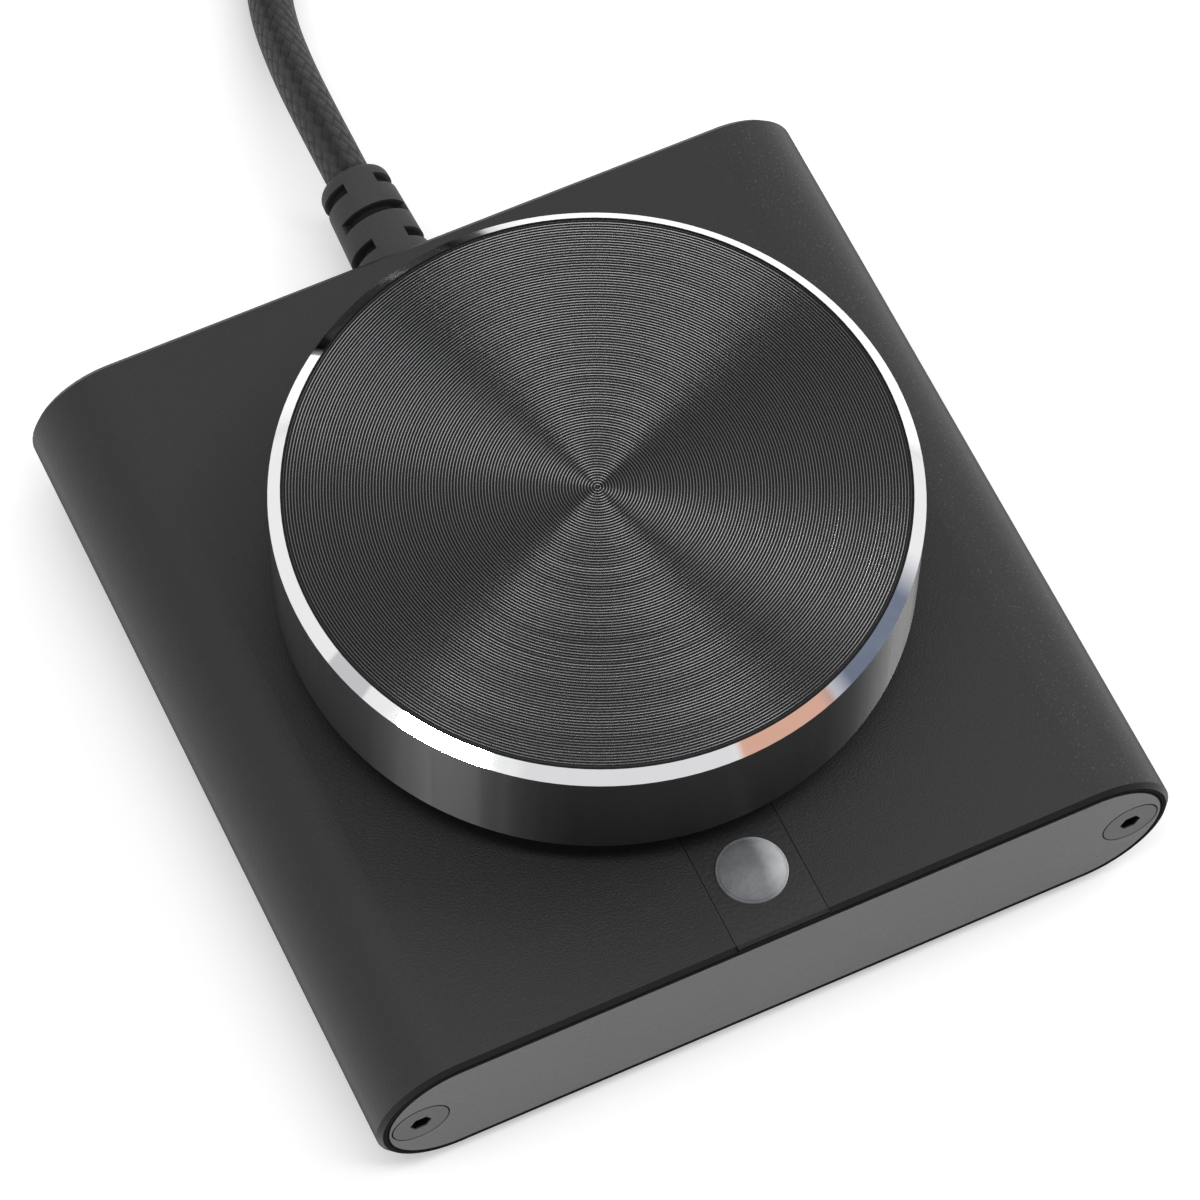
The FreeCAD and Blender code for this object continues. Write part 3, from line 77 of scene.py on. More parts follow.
# Cable: four conductors in a round sheath under a braid of black yarn, moulded into its
# strain relief. It bows down to the table, and the spare length is wound in four layers.
cable_radius = 0.001825
lead_route = [
    (0, 44.6, 5.5),
    (0, 51, 5.5),
    (0.35, 57.2, 4.6),
    (1.35, 63.4, 2.95),
    (3.4, 69.4, 2),
    (6.6, 75, 2.1),
    (11.05, 79.45, 2.825),
    (14.95, 83.35, 2.825),
]
tail_route = [
    (27.18, 101.77, 16.025),
    (29.8, 109.2, 14.7),
    (30, 117.6, 11.3),
    (27.8, 125.8, 8),
    (23.2, 132.9, 5.4),
    (16.8, 138.2, 4.2),
    (9, 140.9, 4),
    (1.4, 140.9, 4),
]
coil_middle = Vector((0.14297, 104.30888))
coil_radius = 25.3
coil_pitch = 4.4
coil_turns = 8.06
coil_passes = 4
turns_in_pass = (coil_turns - (coil_passes - 1) / 2) / coil_passes
first_angle = math.radians(-45) - math.atan2(coil_pitch, math.tau * coil_radius)


def coil_spot(turn):
    """Middle of the cable, so many turns into the coil, in millimetres."""
    radius, level, left, sign = coil_radius, 2.825, turn, -1
    for stage in range(coil_passes):
        run = min(left, turns_in_pass)
        radius += sign * run * coil_pitch
        left -= run
        if left <= 0 or stage == coil_passes - 1:
            break
        share = min(left, 0.5) / 0.5
        level += coil_pitch * share * share * (3 - 2 * share)
        left -= share * 0.5
        if left <= 0:
            radius += sign * coil_pitch / math.tau * math.sin(math.pi * share)
            break
        sign = -sign
    angle = first_angle + math.tau * turn
    across = coil_middle.x + radius * math.cos(angle)
    along = coil_middle.y + radius * math.sin(angle)
    return (across, along, level)


coil_points = round(coil_turns * 24)
route = list(lead_route)
for i in range(coil_points + 1):
    route.append(coil_spot(coil_turns * i / coil_points))
route += tail_route
line_data = bpy.data.curves.new("cable_line", "CURVE")
line_data.dimensions = "3D"
line_data.resolution_u = 10
spline = line_data.splines.new("NURBS")
spline.points.add(len(route) - 1)
for point, (x, y, z) in zip(spline.points, route):
    point.co = (x / 1000, y / 1000, z / 1000, 1)
spline.order_u = 3
spline.use_endpoint_u = True
cable_line = bpy.data.objects.new("cable_line", line_data)
bpy.context.scene.collection.objects.link(cable_line)
bpy.context.view_layer.update()
line_mesh = bpy.data.meshes.new_from_object(cable_line)
line = [v.co.copy() for v in line_mesh.vertices]
bpy.data.objects.remove(cable_line)

# even steps along the line, and a ring of points round each
step = 0.0008
spots, lengths = [line[0]], [0.0]
gone, since = 0.0, 0.0
for before, after in zip(line, line[1:]):
    run = (after - before).length
    while since + run >= step:
        share = (step - since) / run
        before = before.lerp(after, share)
        run = (after - before).length
        gone += step
        since = 0.0
        spots.append(before.copy())
        lengths.append(gone)
    since += run
spots[-1] = line[-1]
sides = 20
cable_mesh = bpy.data.meshes.new("cable")
made = bmesh.new()
braid_map = made.loops.layers.uv.new("along_braid")
side_way = (spots[1] - spots[0]).cross(Vector((0, 0, 1))).normalized()
rings = []
for i, spot in enumerate(spots):
    ahead = (spots[min(i + 1, len(spots) - 1)] - spots[max(i - 1, 0)]).normalized()
    side_way = (side_way - ahead * side_way.dot(ahead)).normalized()
    over = ahead.cross(side_way)
    ring = []
    for k in range(sides):
        angle = math.tau * k / sides
        out = side_way * math.cos(angle) + over * math.sin(angle)
        ring.append(made.verts.new(spot + out * cable_radius))
    rings.append(ring)
for i in range(len(rings) - 1):
    for k in range(sides):
        n = (k + 1) % sides
        face = made.faces.new((rings[i][k], rings[i][n], rings[i + 1][n], rings[i + 1][k]))
        face.smooth = True
        corners = ((k, i), (k + 1, i), (k + 1, i + 1), (k, i + 1))
        for loop, (around, along) in zip(face.loops, corners):
            loop[braid_map].uv = (around / sides, lengths[along])
for ring, turn_over in ((rings[0], True), (rings[-1], False)):
    cap = made.faces.new(ring[::-1] if turn_over else ring)
    for loop in cap.loops:
        loop[braid_map].uv = (0, 0)
bmesh.ops.recalc_face_normals(made, faces=made.faces)
made.to_mesh(cable_mesh)
made.free()
cable = bpy.data.objects.new("cable", cable_mesh)
bpy.context.scene.collection.objects.link(cable)


class Strand:
    """A value in a finish's nodes, written in sums like a number."""

    def __init__(self, finish, socket):
        self.finish = finish
        self.socket = socket

    def also(self, name):
        return Strand(self.finish, self.socket.node.outputs[name])

    def math(self, operation, *values):
        return self.finish.node("Math", {"operation": operation}, dict(enumerate(values)))

    def __add__(self, other):
        return self.math("ADD", self, other)

    def __radd__(self, other):
        return self.math("ADD", other, self)

    def __sub__(self, other):
        return self.math("SUBTRACT", self, other)

    def __rsub__(self, other):
        return self.math("SUBTRACT", other, self)

    def __mul__(self, other):
        return self.math("MULTIPLY", self, other)

    def __rmul__(self, other):
        return self.math("MULTIPLY", other, self)

    def __truediv__(self, other):
        return self.math("DIVIDE", self, other)

    def __pow__(self, other):
        return self.math("POWER", self, other)

    def __mod__(self, other):
        return self.math("FLOORED_MODULO", self, other)

    def __gt__(self, other):
        return self.math("GREATER_THAN", self, other)

    def __lt__(self, other):
        return self.math("LESS_THAN", self, other)


class Finish:
    """A material and the nodes that make it."""

    def __init__(self, name):
        self.material = bpy.data.materials.new(name)
        self.material.use_nodes = True
        self.nodes = self.material.node_tree.nodes
        self.links = self.material.node_tree.links
        self.nodes.clear()

    def node(self, kind, settings=(), values=(), out=0):
        made = self.nodes.new("ShaderNode" + kind)
        for name, setting in dict(settings).items():
            if name == "stops":
                ramp = made.color_ramp.elements
                while len(ramp) < len(setting):
                    ramp.new(0.5)
                for stop, (place, shade) in zip(ramp, setting):
                    stop.position = place
                    stop.color = (*shade, 1) if isinstance(shade, tuple) else (shade,) * 3 + (1,)
            else:
                setattr(made, name, setting)
        for name, value in dict(values).items():
            if isinstance(value, Strand):
                self.links.new(value.socket, made.inputs[name])
            elif isinstance(value, tuple) and made.inputs[name].type == "RGBA":
                made.inputs[name].default_value = (*value, 1)
            else:
                made.inputs[name].default_value = value
        return Strand(self, made.outputs[out])

    def place(self):
        """The spot on the piece, in metres."""
        return self.node("TexCoord", out="Object")

    def noise(self, spot, size, detail=2, **more):
        """Cloudy marks of about that size in metres, from 0 to 1."""
        values = {"Vector": spot, "Scale": 1 / size, "Detail": detail, **more}
        return self.node("TexNoise", {}, values)

    def ramp(self, value, *stops, smooth=False):
        settings = {"stops": stops}
        made = self.node("ValToRGB", settings, {"Fac": value})
        if smooth:
            made.socket.node.color_ramp.interpolation = "EASE"
        return made

    def blend(self, share, first, second):
        """A colour that goes from the first to the second as the share goes from 0 to 1."""
        return self.node("Mix", {"data_type": "RGBA"}, {0: share, 6: first, 7: second}, 2)

    def bumps(self, height, depth, under=None):
        """Dents and bumps that deep in metres, on top of others."""
        values = {"Height": height, "Strength": 1.0, "Distance": depth}
        if under is not None:
            values["Normal"] = under
        return self.node("Bump", {}, values)

    def done(self, colour, rough, normal=None, glancing=0.0, **more):
        """The finished material, its grain hiding that share of what a low look would mirror."""
        values = {"Base Color": colour, "Roughness": rough}
        if normal is not None:
            values["Normal"] = normal
        values.update({name.replace("_", " "): value for name, value in more.items()})
        shader = self.node("BsdfPrincipled", {}, values)
        if glancing:
            facing = self.node("LayerWeight", {}, {"Blend": 0.5}, "Facing")
            hidden = self.ramp(facing, (0.7, 0.0), (0.95, glancing))
            grain = self.node("BsdfDiffuse", {}, {"Color": (0.012, 0.012, 0.013)})
            shader = self.node("MixShader", {}, {0: hidden, 1: shader, 2: grain})
        self.node_out(shader)
        return self.material

    def node_out(self, shader):
        made = self.nodes.new("ShaderNodeOutputMaterial")
        self.links.new(shader.socket, made.inputs["Surface"])


def braid():
    """Black yarn, fourteen strands each way, over a sheath with channels on two sides, which like
    the hollows between the yarns are darkened with painted shade.
    """
    finish = Finish("cable_braid")
    spot = finish.node("UVMap", {"uv_map": "along_braid"})
    around = finish.node("SeparateXYZ", {}, {"Vector": spot}, "X")
    along = around.also("Y")
    one = around * 14 + along / 0.0015
    other = around * 14 - along / 0.0015
    one_in = one % 1
    other_in = other % 1
    one_round = one_in * (1 - one_in) * 4
    other_round = other_in * (1 - other_in) * 4
    which = (one.math("FLOOR", one) + one.math("FLOOR", other)) % 2
    one_top = one_round ** 0.8 * (0.45 + 0.55 * other_round)
    other_top = other_round ** 0.8 * (0.45 + 0.55 * one_round)
    height = which * one_top + (1 - which) * other_top
    yarn = which * ((one * 4) % 1) + (1 - which) * ((other * 4) % 1)
    yarn = yarn * (1 - yarn) * 4
    spot_in = finish.place()
    fuzz = finish.noise(spot_in, 0.00022, 3)
    patchy = finish.noise(spot_in, 0.0011, 2)
    off = one.math("ABSOLUTE", ((around + 0.039) % 0.5) - 0.25)
    channel_with_painted_shade = finish.ramp(off, (0.0, 1.0), (0.055, 0.0), smooth=True)
    # Painted shade: the tone is darker in the hollows between the yarns and in the two channels,
    # which are also real dents.
    tone = height * 0.4 + yarn * 0.05 + fuzz * 0.2 + patchy * 0.5 - channel_with_painted_shade * 0.85
    shade = finish.ramp(tone, (0.05, 0.005), (0.5, 0.019), (0.95, 0.034))
    normal = finish.bumps(channel_with_painted_shade, -0.0004)
    normal = finish.bumps(height, 0.00011, normal)
    normal = finish.bumps(fuzz + yarn * 0.5, 0.00003, normal)
    rough = 0.74 + 0.16 * fuzz
    return finish.done(shade, rough, normal, Sheen_Weight=0.2, Sheen_Roughness=0.5)


cable_mesh.materials.append(braid())
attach(cable, "base")
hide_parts("cord_lead", "cord_coil", "cord_tail")

# Table and light: a white sheet in a white light tent, dark above, where one long soft
# box hangs over the table and a smaller one at its right.
bpy.ops.mesh.primitive_plane_add(size=6, location=(0, 0, 0))
table = bpy.context.object
table.name = "table"
sheet_finish = Finish("white_sheet")
ray = sheet_finish.node("LightPath", out="Is Camera Ray")
seen = ray.math("MAXIMUM", ray, ray.also("Is Glossy Ray"))
seen = ray.math("MAXIMUM", seen, ray.also("Is Transmission Ray"))
paper = sheet_finish.node("BsdfDiffuse", {}, {"Color": (0.86, 0.86, 0.86)})
glow = sheet_finish.node("Emission", {}, {"Color": (1, 1, 1), "Strength": 0.28})
none = sheet_finish.node("Emission", {}, {"Color": (0, 0, 0), "Strength": 0.0})
extra = sheet_finish.node("MixShader", {}, {0: seen, 1: none, 2: glow})
sheet_finish.node_out(sheet_finish.node("AddShader", {}, {0: paper, 1: extra}))
table.data.materials.append(sheet_finish.material)


def soft_box(name, place, aim, width, height, power, shade=(1, 1, 1)):
    lamp = bpy.data.lights.new(name, "AREA")
    lamp.shape = "RECTANGLE"
    lamp.size = width
    lamp.size_y = height
    lamp.energy = power
    lamp.color = shade
    box = bpy.data.objects.new(name, lamp)
    bpy.context.scene.collection.objects.link(box)
    box.location = place
    way = Vector(aim) - Vector(place)
    box.rotation_euler = way.to_track_quat("-Z", "Y").to_euler()
    return box


long_box = soft_box("long_box", (-0.035, -0.225, 1.2), (-0.035, -0.225, 0), 1.32, 0.23, 7.2)
long_box.rotation_euler = (0, 0, math.radians(-30))
soft_box("right_box", (0.75, -0.05, 0.95), (0, 0, 0), 0.45, 0.45, 2.5)


class Room(Finish):
    """The white tent round the table, and the dark above it."""

    def __init__(self, name):
        self.world = bpy.data.worlds.new(name)
        bpy.context.scene.world = self.world
        self.world.use_nodes = True
        self.nodes = self.world.node_tree.nodes
        self.links = self.world.node_tree.links
        self.nodes.clear()

    def patch(self, way, middle, size, soft=0.15):
        """1 towards a panel about that middle and that wide and high, else 0."""
        bearing = way.math("ARCTAN2", way.also("Y"), way)
        across = way.math("ABSOLUTE", bearing - math.radians(middle[0]))
        high = way.math("ABSOLUTE", way.also("Z") - math.sin(math.radians(middle[1])))
        halves = [math.radians(part) / 2 for part in size]
        inside = []
        for off, half in ((across, halves[0]), (high, halves[1])):
            edge = (half - off) / (half * soft) + 0.5
            inside.append(way.math("MINIMUM", way.math("MAXIMUM", edge, 0.0), 1.0))
        return inside[0] * inside[1]

    def node_out(self, shader):
        made = self.nodes.new("ShaderNodeOutputWorld")
        self.links.new(shader.socket, made.inputs["Surface"])


tent = Room("light_tent")
way = tent.node("SeparateXYZ", {}, {"Vector": tent.node("TexCoord", out="Generated")}, "X")
wall = tent.ramp(way.also("Z"), (0.0, 0.92), (0.62, 0.88), (0.76, 0.15), (1.0, 0.15))
wall = tent.blend(tent.patch(way, (67, 45), (114, 26), 0.9), wall, (0.95, 0.95, 0.98))
wall = tent.blend(tent.patch(way, (-105, 33), (62, 22)), wall, (0.76, 0.76, 0.775))
wall = tent.blend(tent.patch(way, (-156, 33), (24, 24)), wall, (1.1, 1.1, 1.08))
wall = tent.blend(tent.patch(way, (172, 28), (12, 22)), wall, (0.58, 0.58, 0.6))
wall = tent.blend(tent.patch(way, (-60, 29), (28, 18)), wall, (0.72, 0.42, 0.32))
wall = tent.blend(tent.patch(way, (-29, 19), (32, 22), 0.6), wall, (0.16, 0.19, 0.26))
ray = tent.node("LightPath", out="Is Camera Ray")
clear = ray.math("MAXIMUM", ray, ray.also("Is Transmission Ray"))
walls = tent.node("Background", {}, {"Color": wall, "Strength": 1.0})
behind = tent.node("Background", {}, {"Color": (1, 1, 1), "Strength": 1.0})
tent.node_out(tent.node("MixShader", {}, {0: clear, 1: walls, 2: behind}))


# Case: an extruded aluminium tube with full-round sides, sawn, chamfered at both ends,
# bead blasted and anodised black. Rubber feet are stuck underneath.
def coat(node, material):
    """Gives a piece of the frame its finish."""
    piece = frame["nodes"][node]
    piece.data.materials.clear()
    piece.data.materials.append(material)


def anodised_case():
    """Black anodised aluminium: blasted all over, but for the ends, which were cut later."""
    finish = Finish("blasted_anodised")
    spot = finish.place()
    across = finish.node("SeparateXYZ", {}, {"Vector": spot}, "X")
    deep_in = across.math("ABSOLUTE", across.also("Y"))
    chamfer = deep_in > 0.03202
    sawn = deep_in > 0.03237
    grain = finish.noise(spot, 0.00016, 2)
    cloud = finish.noise(spot, 0.02, 3)
    # Painted glints: light metallic flecks are put only on the right shoulder, where the light
    # falls.
    lit = finish.ramp(across / 0.033, (0.68, 0.15), (0.92, 1.0), smooth=True)
    painted_glints = finish.ramp(finish.noise(spot, 0.00017, 1), (0.64, 0.0), (0.74, 1.0))
    painted_glints = painted_glints * lit * (1 - chamfer)
    stops = (0.25, (0.007, 0.007, 0.0076)), (0.75, (0.0105, 0.0105, 0.0114))
    blasted = finish.ramp(cloud * 0.5 + grain * 0.5, *stops)
    blasted = finish.blend(painted_glints, blasted, (0.1, 0.1, 0.106))
    shade = finish.blend(chamfer, blasted, (0.009, 0.009, 0.0095))
    rough = 0.42 + 0.12 * grain + 0.04 * cloud - 0.1 * chamfer + 0.5 * sawn
    normal = finish.bumps(grain, 0.00003)
    metal = 0.65 * chamfer + 0.35 * sawn + 0.5 * painted_glints
    return finish.done(shade, rough, normal, 0.65, Metallic=metal, Specular_IOR_Level=0.5)


coat("case_shell", anodised_case())


# Feet: four discs of soft black rubber, punched from sheet and stuck under the case.
def alone(piece=None):
    """Nothing is picked but the piece."""
    if bpy.context.object is not None and bpy.context.object.mode == "EDIT":
        bpy.ops.object.mode_set(mode="OBJECT")
    for other in bpy.context.view_layer.objects:
        other.select_set(False)
    if piece is not None:
        piece.select_set(True)
        bpy.context.view_layer.objects.active = piece
    return piece


def copied(node, name):
    """A welded copy of a piece of the frame, to be finished further."""
    piece = frame["nodes"][node].copy()
    piece.data = piece.data.copy()
    piece.data.materials.clear()
    piece.parent = None
    for key in list(piece.keys()):
        del piece[key]
    piece.name = piece.data.name = name
    bpy.context.scene.collection.objects.link(piece)
    alone(piece)
    bpy.ops.object.mode_set(mode="EDIT")
    bpy.ops.mesh.select_all(action="SELECT")
    bpy.ops.mesh.remove_doubles(threshold=1e-6)
    bpy.ops.mesh.dissolve_limited(angle_limit=math.radians(1))
    bpy.ops.object.mode_set(mode="OBJECT")
    return piece


def eased(piece, width, segments=3, angle=40):
    """Sharp edges rounded off, and the shading smooth between what is left of them."""
    alone(piece)
    bevel = piece.modifiers.new("eased_edges", "BEVEL")
    bevel.width = width
    bevel.segments = segments
    bevel.limit_method = "ANGLE"
    bevel.angle_limit = math.radians(angle)
    bevel.use_clamp_overlap = True
    bpy.ops.object.modifier_apply(modifier=bevel.name)
    bpy.ops.object.shade_smooth_by_angle(angle=math.radians(35))
    return piece


def moulded(name, dark, light, rough, grain=0.0003, depth=0.00001, **more):
    """A plastic or rubber with a fine moulded grain and a slight cloudiness."""
    finish = Finish(name)
    spot = finish.place()
    fine = finish.noise(spot, grain, 3)
    cloud = finish.noise(spot, 0.006, 2)
    shade = finish.ramp(fine * 0.6 + cloud * 0.4, (0.3, dark), (0.7, light))
    normal = finish.bumps(fine, depth)
    return finish.done(shade, rough + 0.1 * cloud - 0.05, normal, **more)


rubber = moulded("foot_rubber", 0.012, 0.02, 0.78, 0.0002, 0.00002)
feet = eased(copied("rubber_feet", "rubber_bumpers"), 0.00018)
feet.data.materials.append(rubber)
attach(feet, "base")
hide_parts("rubber_feet")

# Circuit board: black solder mask on glass laminate, with the copper tracks showing
# faintly through it. It slides into the rails from the front.
def board_sheet():
    finish = Finish("solder_mask")
    spot = finish.place()
    across = finish.node("SeparateXYZ", {}, {"Vector": spot}, "X")
    deep = across.also("Y")
    high_up = across.also("Z")
    values = {"Vector": spot, "Scale": 260.0, "Randomness": 0.9}
    lanes = finish.node("TexVoronoi", {"distance": "CHEBYCHEV"}, values)
    weave = finish.noise(spot, 0.0006, 2)
    along = ((across / 0.0011 + weave * 0.2) % 1 > 0.55) * (lanes > 0.42)
    cross = ((deep / 0.0013 + weave * 0.2) % 1 > 0.6) * (lanes < 0.3)
    track = along.math("MAXIMUM", along, cross)
    edge = (high_up > 0.00482) * (high_up < 0.00638)
    mask = finish.blend(track, (0.006, 0.012, 0.009), (0.012, 0.028, 0.02))
    shade = finish.blend(edge, mask, (0.3, 0.27, 0.15))
    normal = finish.bumps(track, 0.00003)
    return finish.done(shade, 0.32 + 0.2 * weave, normal)


coat("circuit_board", board_sheet())


# Parts on the board: a chip in black epoxy, a drawn nickel can, two aluminium cans,
# five resistors and a white light, all soldered on.
def dull_metal(name, shade, rough, grain=0.0002, depth=0.000004, lines=(1, 1, 1), **more):
    """Plated or drawn metal with fine marks along one way and slight staining."""
    finish = Finish(name)
    spot = finish.place()
    stretched = finish.node("Mapping", {}, {"Vector": spot, "Scale": lines})
    marks = finish.noise(stretched, grain, 4)
    stain = finish.noise(spot, 0.003, 3)
    darker = tuple(0.72 * part for part in shade)
    colour = finish.blend(stain * 0.6 + marks * 0.4, darker, shade)
    rough = rough - 0.06 + 0.12 * stain + 0.06 * marks
    return finish.done(colour, rough, finish.bumps(marks, depth), Metallic=1.0, **more)


def chip_epoxy():
    finish = Finish("chip_epoxy")
    spot = finish.place()
    side_on = finish.node("SeparateXYZ", {}, {"Vector": spot}, "X")
    high_up = side_on.also("Z")
    body = (side_on > -0.01476) * (side_on < -0.01084) * (high_up > 0.00649)
    speck = finish.noise(spot, 0.00015, 3)
    shade = finish.blend(body, (0.55, 0.54, 0.52), (0.012, 0.012, 0.013))
    normal = finish.bumps(speck, 0.000012)
    return finish.done(shade, 0.3 + 0.35 * body + 0.1 * speck, normal, Metallic=1 - body)


def banded(name, split, under, over, rough, metal):
    """Two finishes, one under and one over a level of the piece."""
    finish = Finish(name)
    spot = finish.place()
    high_up = finish.node("SeparateXYZ", {}, {"Vector": spot}, "Z")
    upper = high_up > split
    speck = finish.noise(spot, 0.00018, 3)
    shade = finish.blend(upper, under, over)
    normal = finish.bumps(speck, 0.000006)
    return finish.done(shade, rough + 0.15 * speck, normal, Metallic=upper * metal)


coat("controller_chip", chip_epoxy())
coat("timing_crystal", dull_metal("crystal_nickel", (0.62, 0.61, 0.58), 0.28))
can = banded("capacitor_can", 0.0073, (0.01, 0.01, 0.01), (0.7, 0.71, 0.73), 0.24, 1)
coat("capacitors", can)
body = banded("resistor_body", 0.00678, (0.6, 0.58, 0.52), (0.012, 0.012, 0.014), 0.4, 0)
coat("resistors", body)
package = banded("led_package", 0.0081, (0.7, 0.7, 0.68), (0.75, 0.74, 0.35), 0.35, 0)
coat("status_led", package)

# Connector and conductors: nylon housings, four insulated wires and the end of the
# sheath, plugged together when the board is in.
nylon = moulded("cream_nylon", 0.5, 0.6, 0.42, 0.0004, 0.000006)
coat("wire_socket", nylon)
coat("wire_plug", nylon)
coat("cable_end", moulded("sheath_rubber", 0.014, 0.022, 0.6))


def wire_colours():
    finish = Finish("wire_insulation")
    spot = finish.place()
    across = finish.node("SeparateXYZ", {}, {"Vector": spot}, "X")
    cloud = finish.noise(spot, 0.002, 1)
    shade = finish.ramp(
        (across - 0.0088) / 0.008,
        (0.0, (0.35, 0.012, 0.01)),
        (0.24, (0.5, 0.5, 0.47)),
        (0.5, (0.02, 0.16, 0.03)),
        (0.75, (0.012, 0.012, 0.012)),
    )
    shade.socket.node.color_ramp.interpolation = "CONSTANT"
    return finish.done(shade, 0.36 + 0.12 * cloud, finish.bumps(cloud, 0.00001))


coat("inner_wires", wire_colours())

# Rotary encoder: a moulded cup under a folded steel cover, with a turned bushing, washer
# and nut, sprung detent ring, snap dome, detent wheel and keyed shaft.
coat("encoder_housing", moulded("encoder_moulding", 0.012, 0.018, 0.5))
plate_steel = dull_metal("plated_steel", (0.6, 0.6, 0.58), 0.3, lines=(1, 0.08, 1))
coat("encoder_cover", plate_steel)
coat("encoder_terminals", plate_steel)
coat("encoder_washer", plate_steel)
coat("encoder_nut", dull_metal("nickel_nut", (0.66, 0.63, 0.57), 0.22))
coat("encoder_bushing", dull_metal("turned_brass", (0.66, 0.63, 0.57), 0.25, lines=(0.1, 0.1, 1)))
bronze = dull_metal("spring_bronze", (0.72, 0.5, 0.28), 0.26)
coat("detent_spring", bronze)
coat("switch_dome", dull_metal("dome_steel", (0.62, 0.62, 0.62), 0.18))
coat("switch_contact", dull_metal("contact_gold", (0.9, 0.66, 0.26), 0.2))
coat("encoder_wheel", moulded("acetal", 0.62, 0.7, 0.36, 0.0003, 0.000004))
coat("encoder_shaft", dull_metal("shaft_steel", (0.58, 0.58, 0.58), 0.26, lines=(0.1, 0.1, 1)))
coat("knob_hub", moulded("knob_insert", 0.014, 0.02, 0.55))


# End plates: dark glass-filled nylon, moulded with a fine spark-eroded grain. The front
# one carries the tongue, flush with the case, that closes the slot and holds the lens.
def plate_moulding():
    finish = Finish("plate_moulding")
    spot = finish.place()
    deep_in = finish.node("SeparateXYZ", {}, {"Vector": spot}, "Y")
    face = deep_in.math("ABSOLUTE", deep_in) > 0.03236
    across = deep_in.also("X")
    over = deep_in.math("MAXIMUM", deep_in.math("ABSOLUTE", across) - 0.0258, 0.0)
    up = deep_in.also("Z") - 0.0077
    to_edge = 0.0059 - (over * over + up * up) ** 0.5
    grain = finish.noise(spot, 0.00035, 4)
    pits = finish.node("TexVoronoi", {}, {"Vector": spot, "Scale": 3400.0})
    cloud = finish.noise(spot, 0.01, 2)
    mix = grain * 0.5 + cloud * 0.5
    # Painted shade: a thin near-black line round the edge of each end face, where the gap to the
    # case lies.
    painted_edge_shade = (to_edge < 0.00009) * face
    bevelled = (deep_in.math("ABSOLUTE", deep_in) > 0.03202) * (1 - face)
    # Painted light: the end faces get a lighter colour than the tongue's top, though both are one
    # moulding.
    plain = finish.ramp(mix, (0.25, (0.007, 0.007, 0.0076)), (0.75, (0.01, 0.01, 0.011)))
    painted_light_face = finish.ramp(mix, (0.25, (0.044, 0.044, 0.047)), (0.75, (0.058, 0.058, 0.062)))
    shade = finish.blend(face - painted_edge_shade, plain, painted_light_face)
    normal = finish.bumps(pits, 0.00001)
    normal = finish.bumps(grain, 0.000016, normal)
    rough = 0.38 + 0.14 * grain + 0.5 * painted_edge_shade
    metal = painted_edge_shade + 0.4 * bevelled
    return finish.done(shade, rough, normal, Metallic=metal, Specular_IOR_Level=0.6)


end_moulding = plate_moulding()
coat("front_plate", end_moulding)
coat("rear_plate", end_moulding)

# Screws: countersunk hexagon-socket screws of blackened steel, driven into the ports.
def blackened():
    finish = Finish("blackened_screw")
    spot = finish.place()
    across = finish.node("SeparateXYZ", {}, {"Vector": spot}, "X")
    off = across.math("ABSOLUTE", across) - 0.0291
    up = across.also("Z") - 0.0077
    deep_in = across.math("ABSOLUTE", across.also("Y"))
    out = (off * off + up * up) ** 0.5
    # Painted shade: the ring round each head and the socket below its face are coloured near
    # black.
    painted_shade_rim = out.math("MAXIMUM", out > 0.00221, deep_in < 0.0323)
    pits = finish.noise(spot, 0.0003, 4)
    stain = finish.noise(spot, 0.0015, 3)
    face = finish.blend(stain * 0.6 + pits * 0.4, (0.034, 0.034, 0.036), (0.058, 0.058, 0.061))
    shade = finish.blend(painted_shade_rim, face, (0.012, 0.012, 0.012))
    normal = finish.bumps(pits, 0.00002)
    return finish.done(shade, 0.4 + 0.15 * stain + 0.4 * painted_shade_rim, normal, Metallic=painted_shade_rim)


black_steel = blackened()
coat("front_plate_screws", black_steel)
coat("rear_plate_screws", black_steel)


# Status lens: a frosted polycarbonate plug with a low dome, pushed up through the tongue
# from below until its collar stops it.
def traced(name, spots):
    """A line of edges through the spots, each r, z in millimetres from the middle."""
    alone()
    (r, z), *rest = spots
    bpy.ops.mesh.primitive_plane_add(size=0.001, location=(r / 1000, 0, z / 1000))
    piece = bpy.context.object
    piece.name = piece.data.name = name
    bpy.ops.object.transform_apply(location=True, rotation=True, scale=True)
    bpy.ops.object.mode_set(mode="EDIT")
    bpy.ops.mesh.select_all(action="SELECT")
    bpy.ops.mesh.merge(type="CENTER")
    for next_r, next_z in rest:
        move = ((next_r - r) / 1000, 0, (next_z - z) / 1000)
        bpy.ops.mesh.extrude_region_move(TRANSFORM_OT_translate={"value": move})
        r, z = next_r, next_z
    return piece


def turned_round(piece, steps, middle=(0, 0)):
    """The traced line swept once round an upright axis, and closed."""
    bpy.ops.mesh.select_all(action="SELECT")
    axis_at = (middle[0], middle[1], 0)
    bpy.ops.mesh.spin(steps=steps, angle=math.tau, center=axis_at, axis=(0, 0, 1))
    bpy.ops.mesh.select_all(action="SELECT")
    bpy.ops.mesh.remove_doubles(threshold=1e-6)
    bpy.ops.mesh.normals_make_consistent(inside=False)
    bpy.ops.object.mode_set(mode="OBJECT")
    return piece


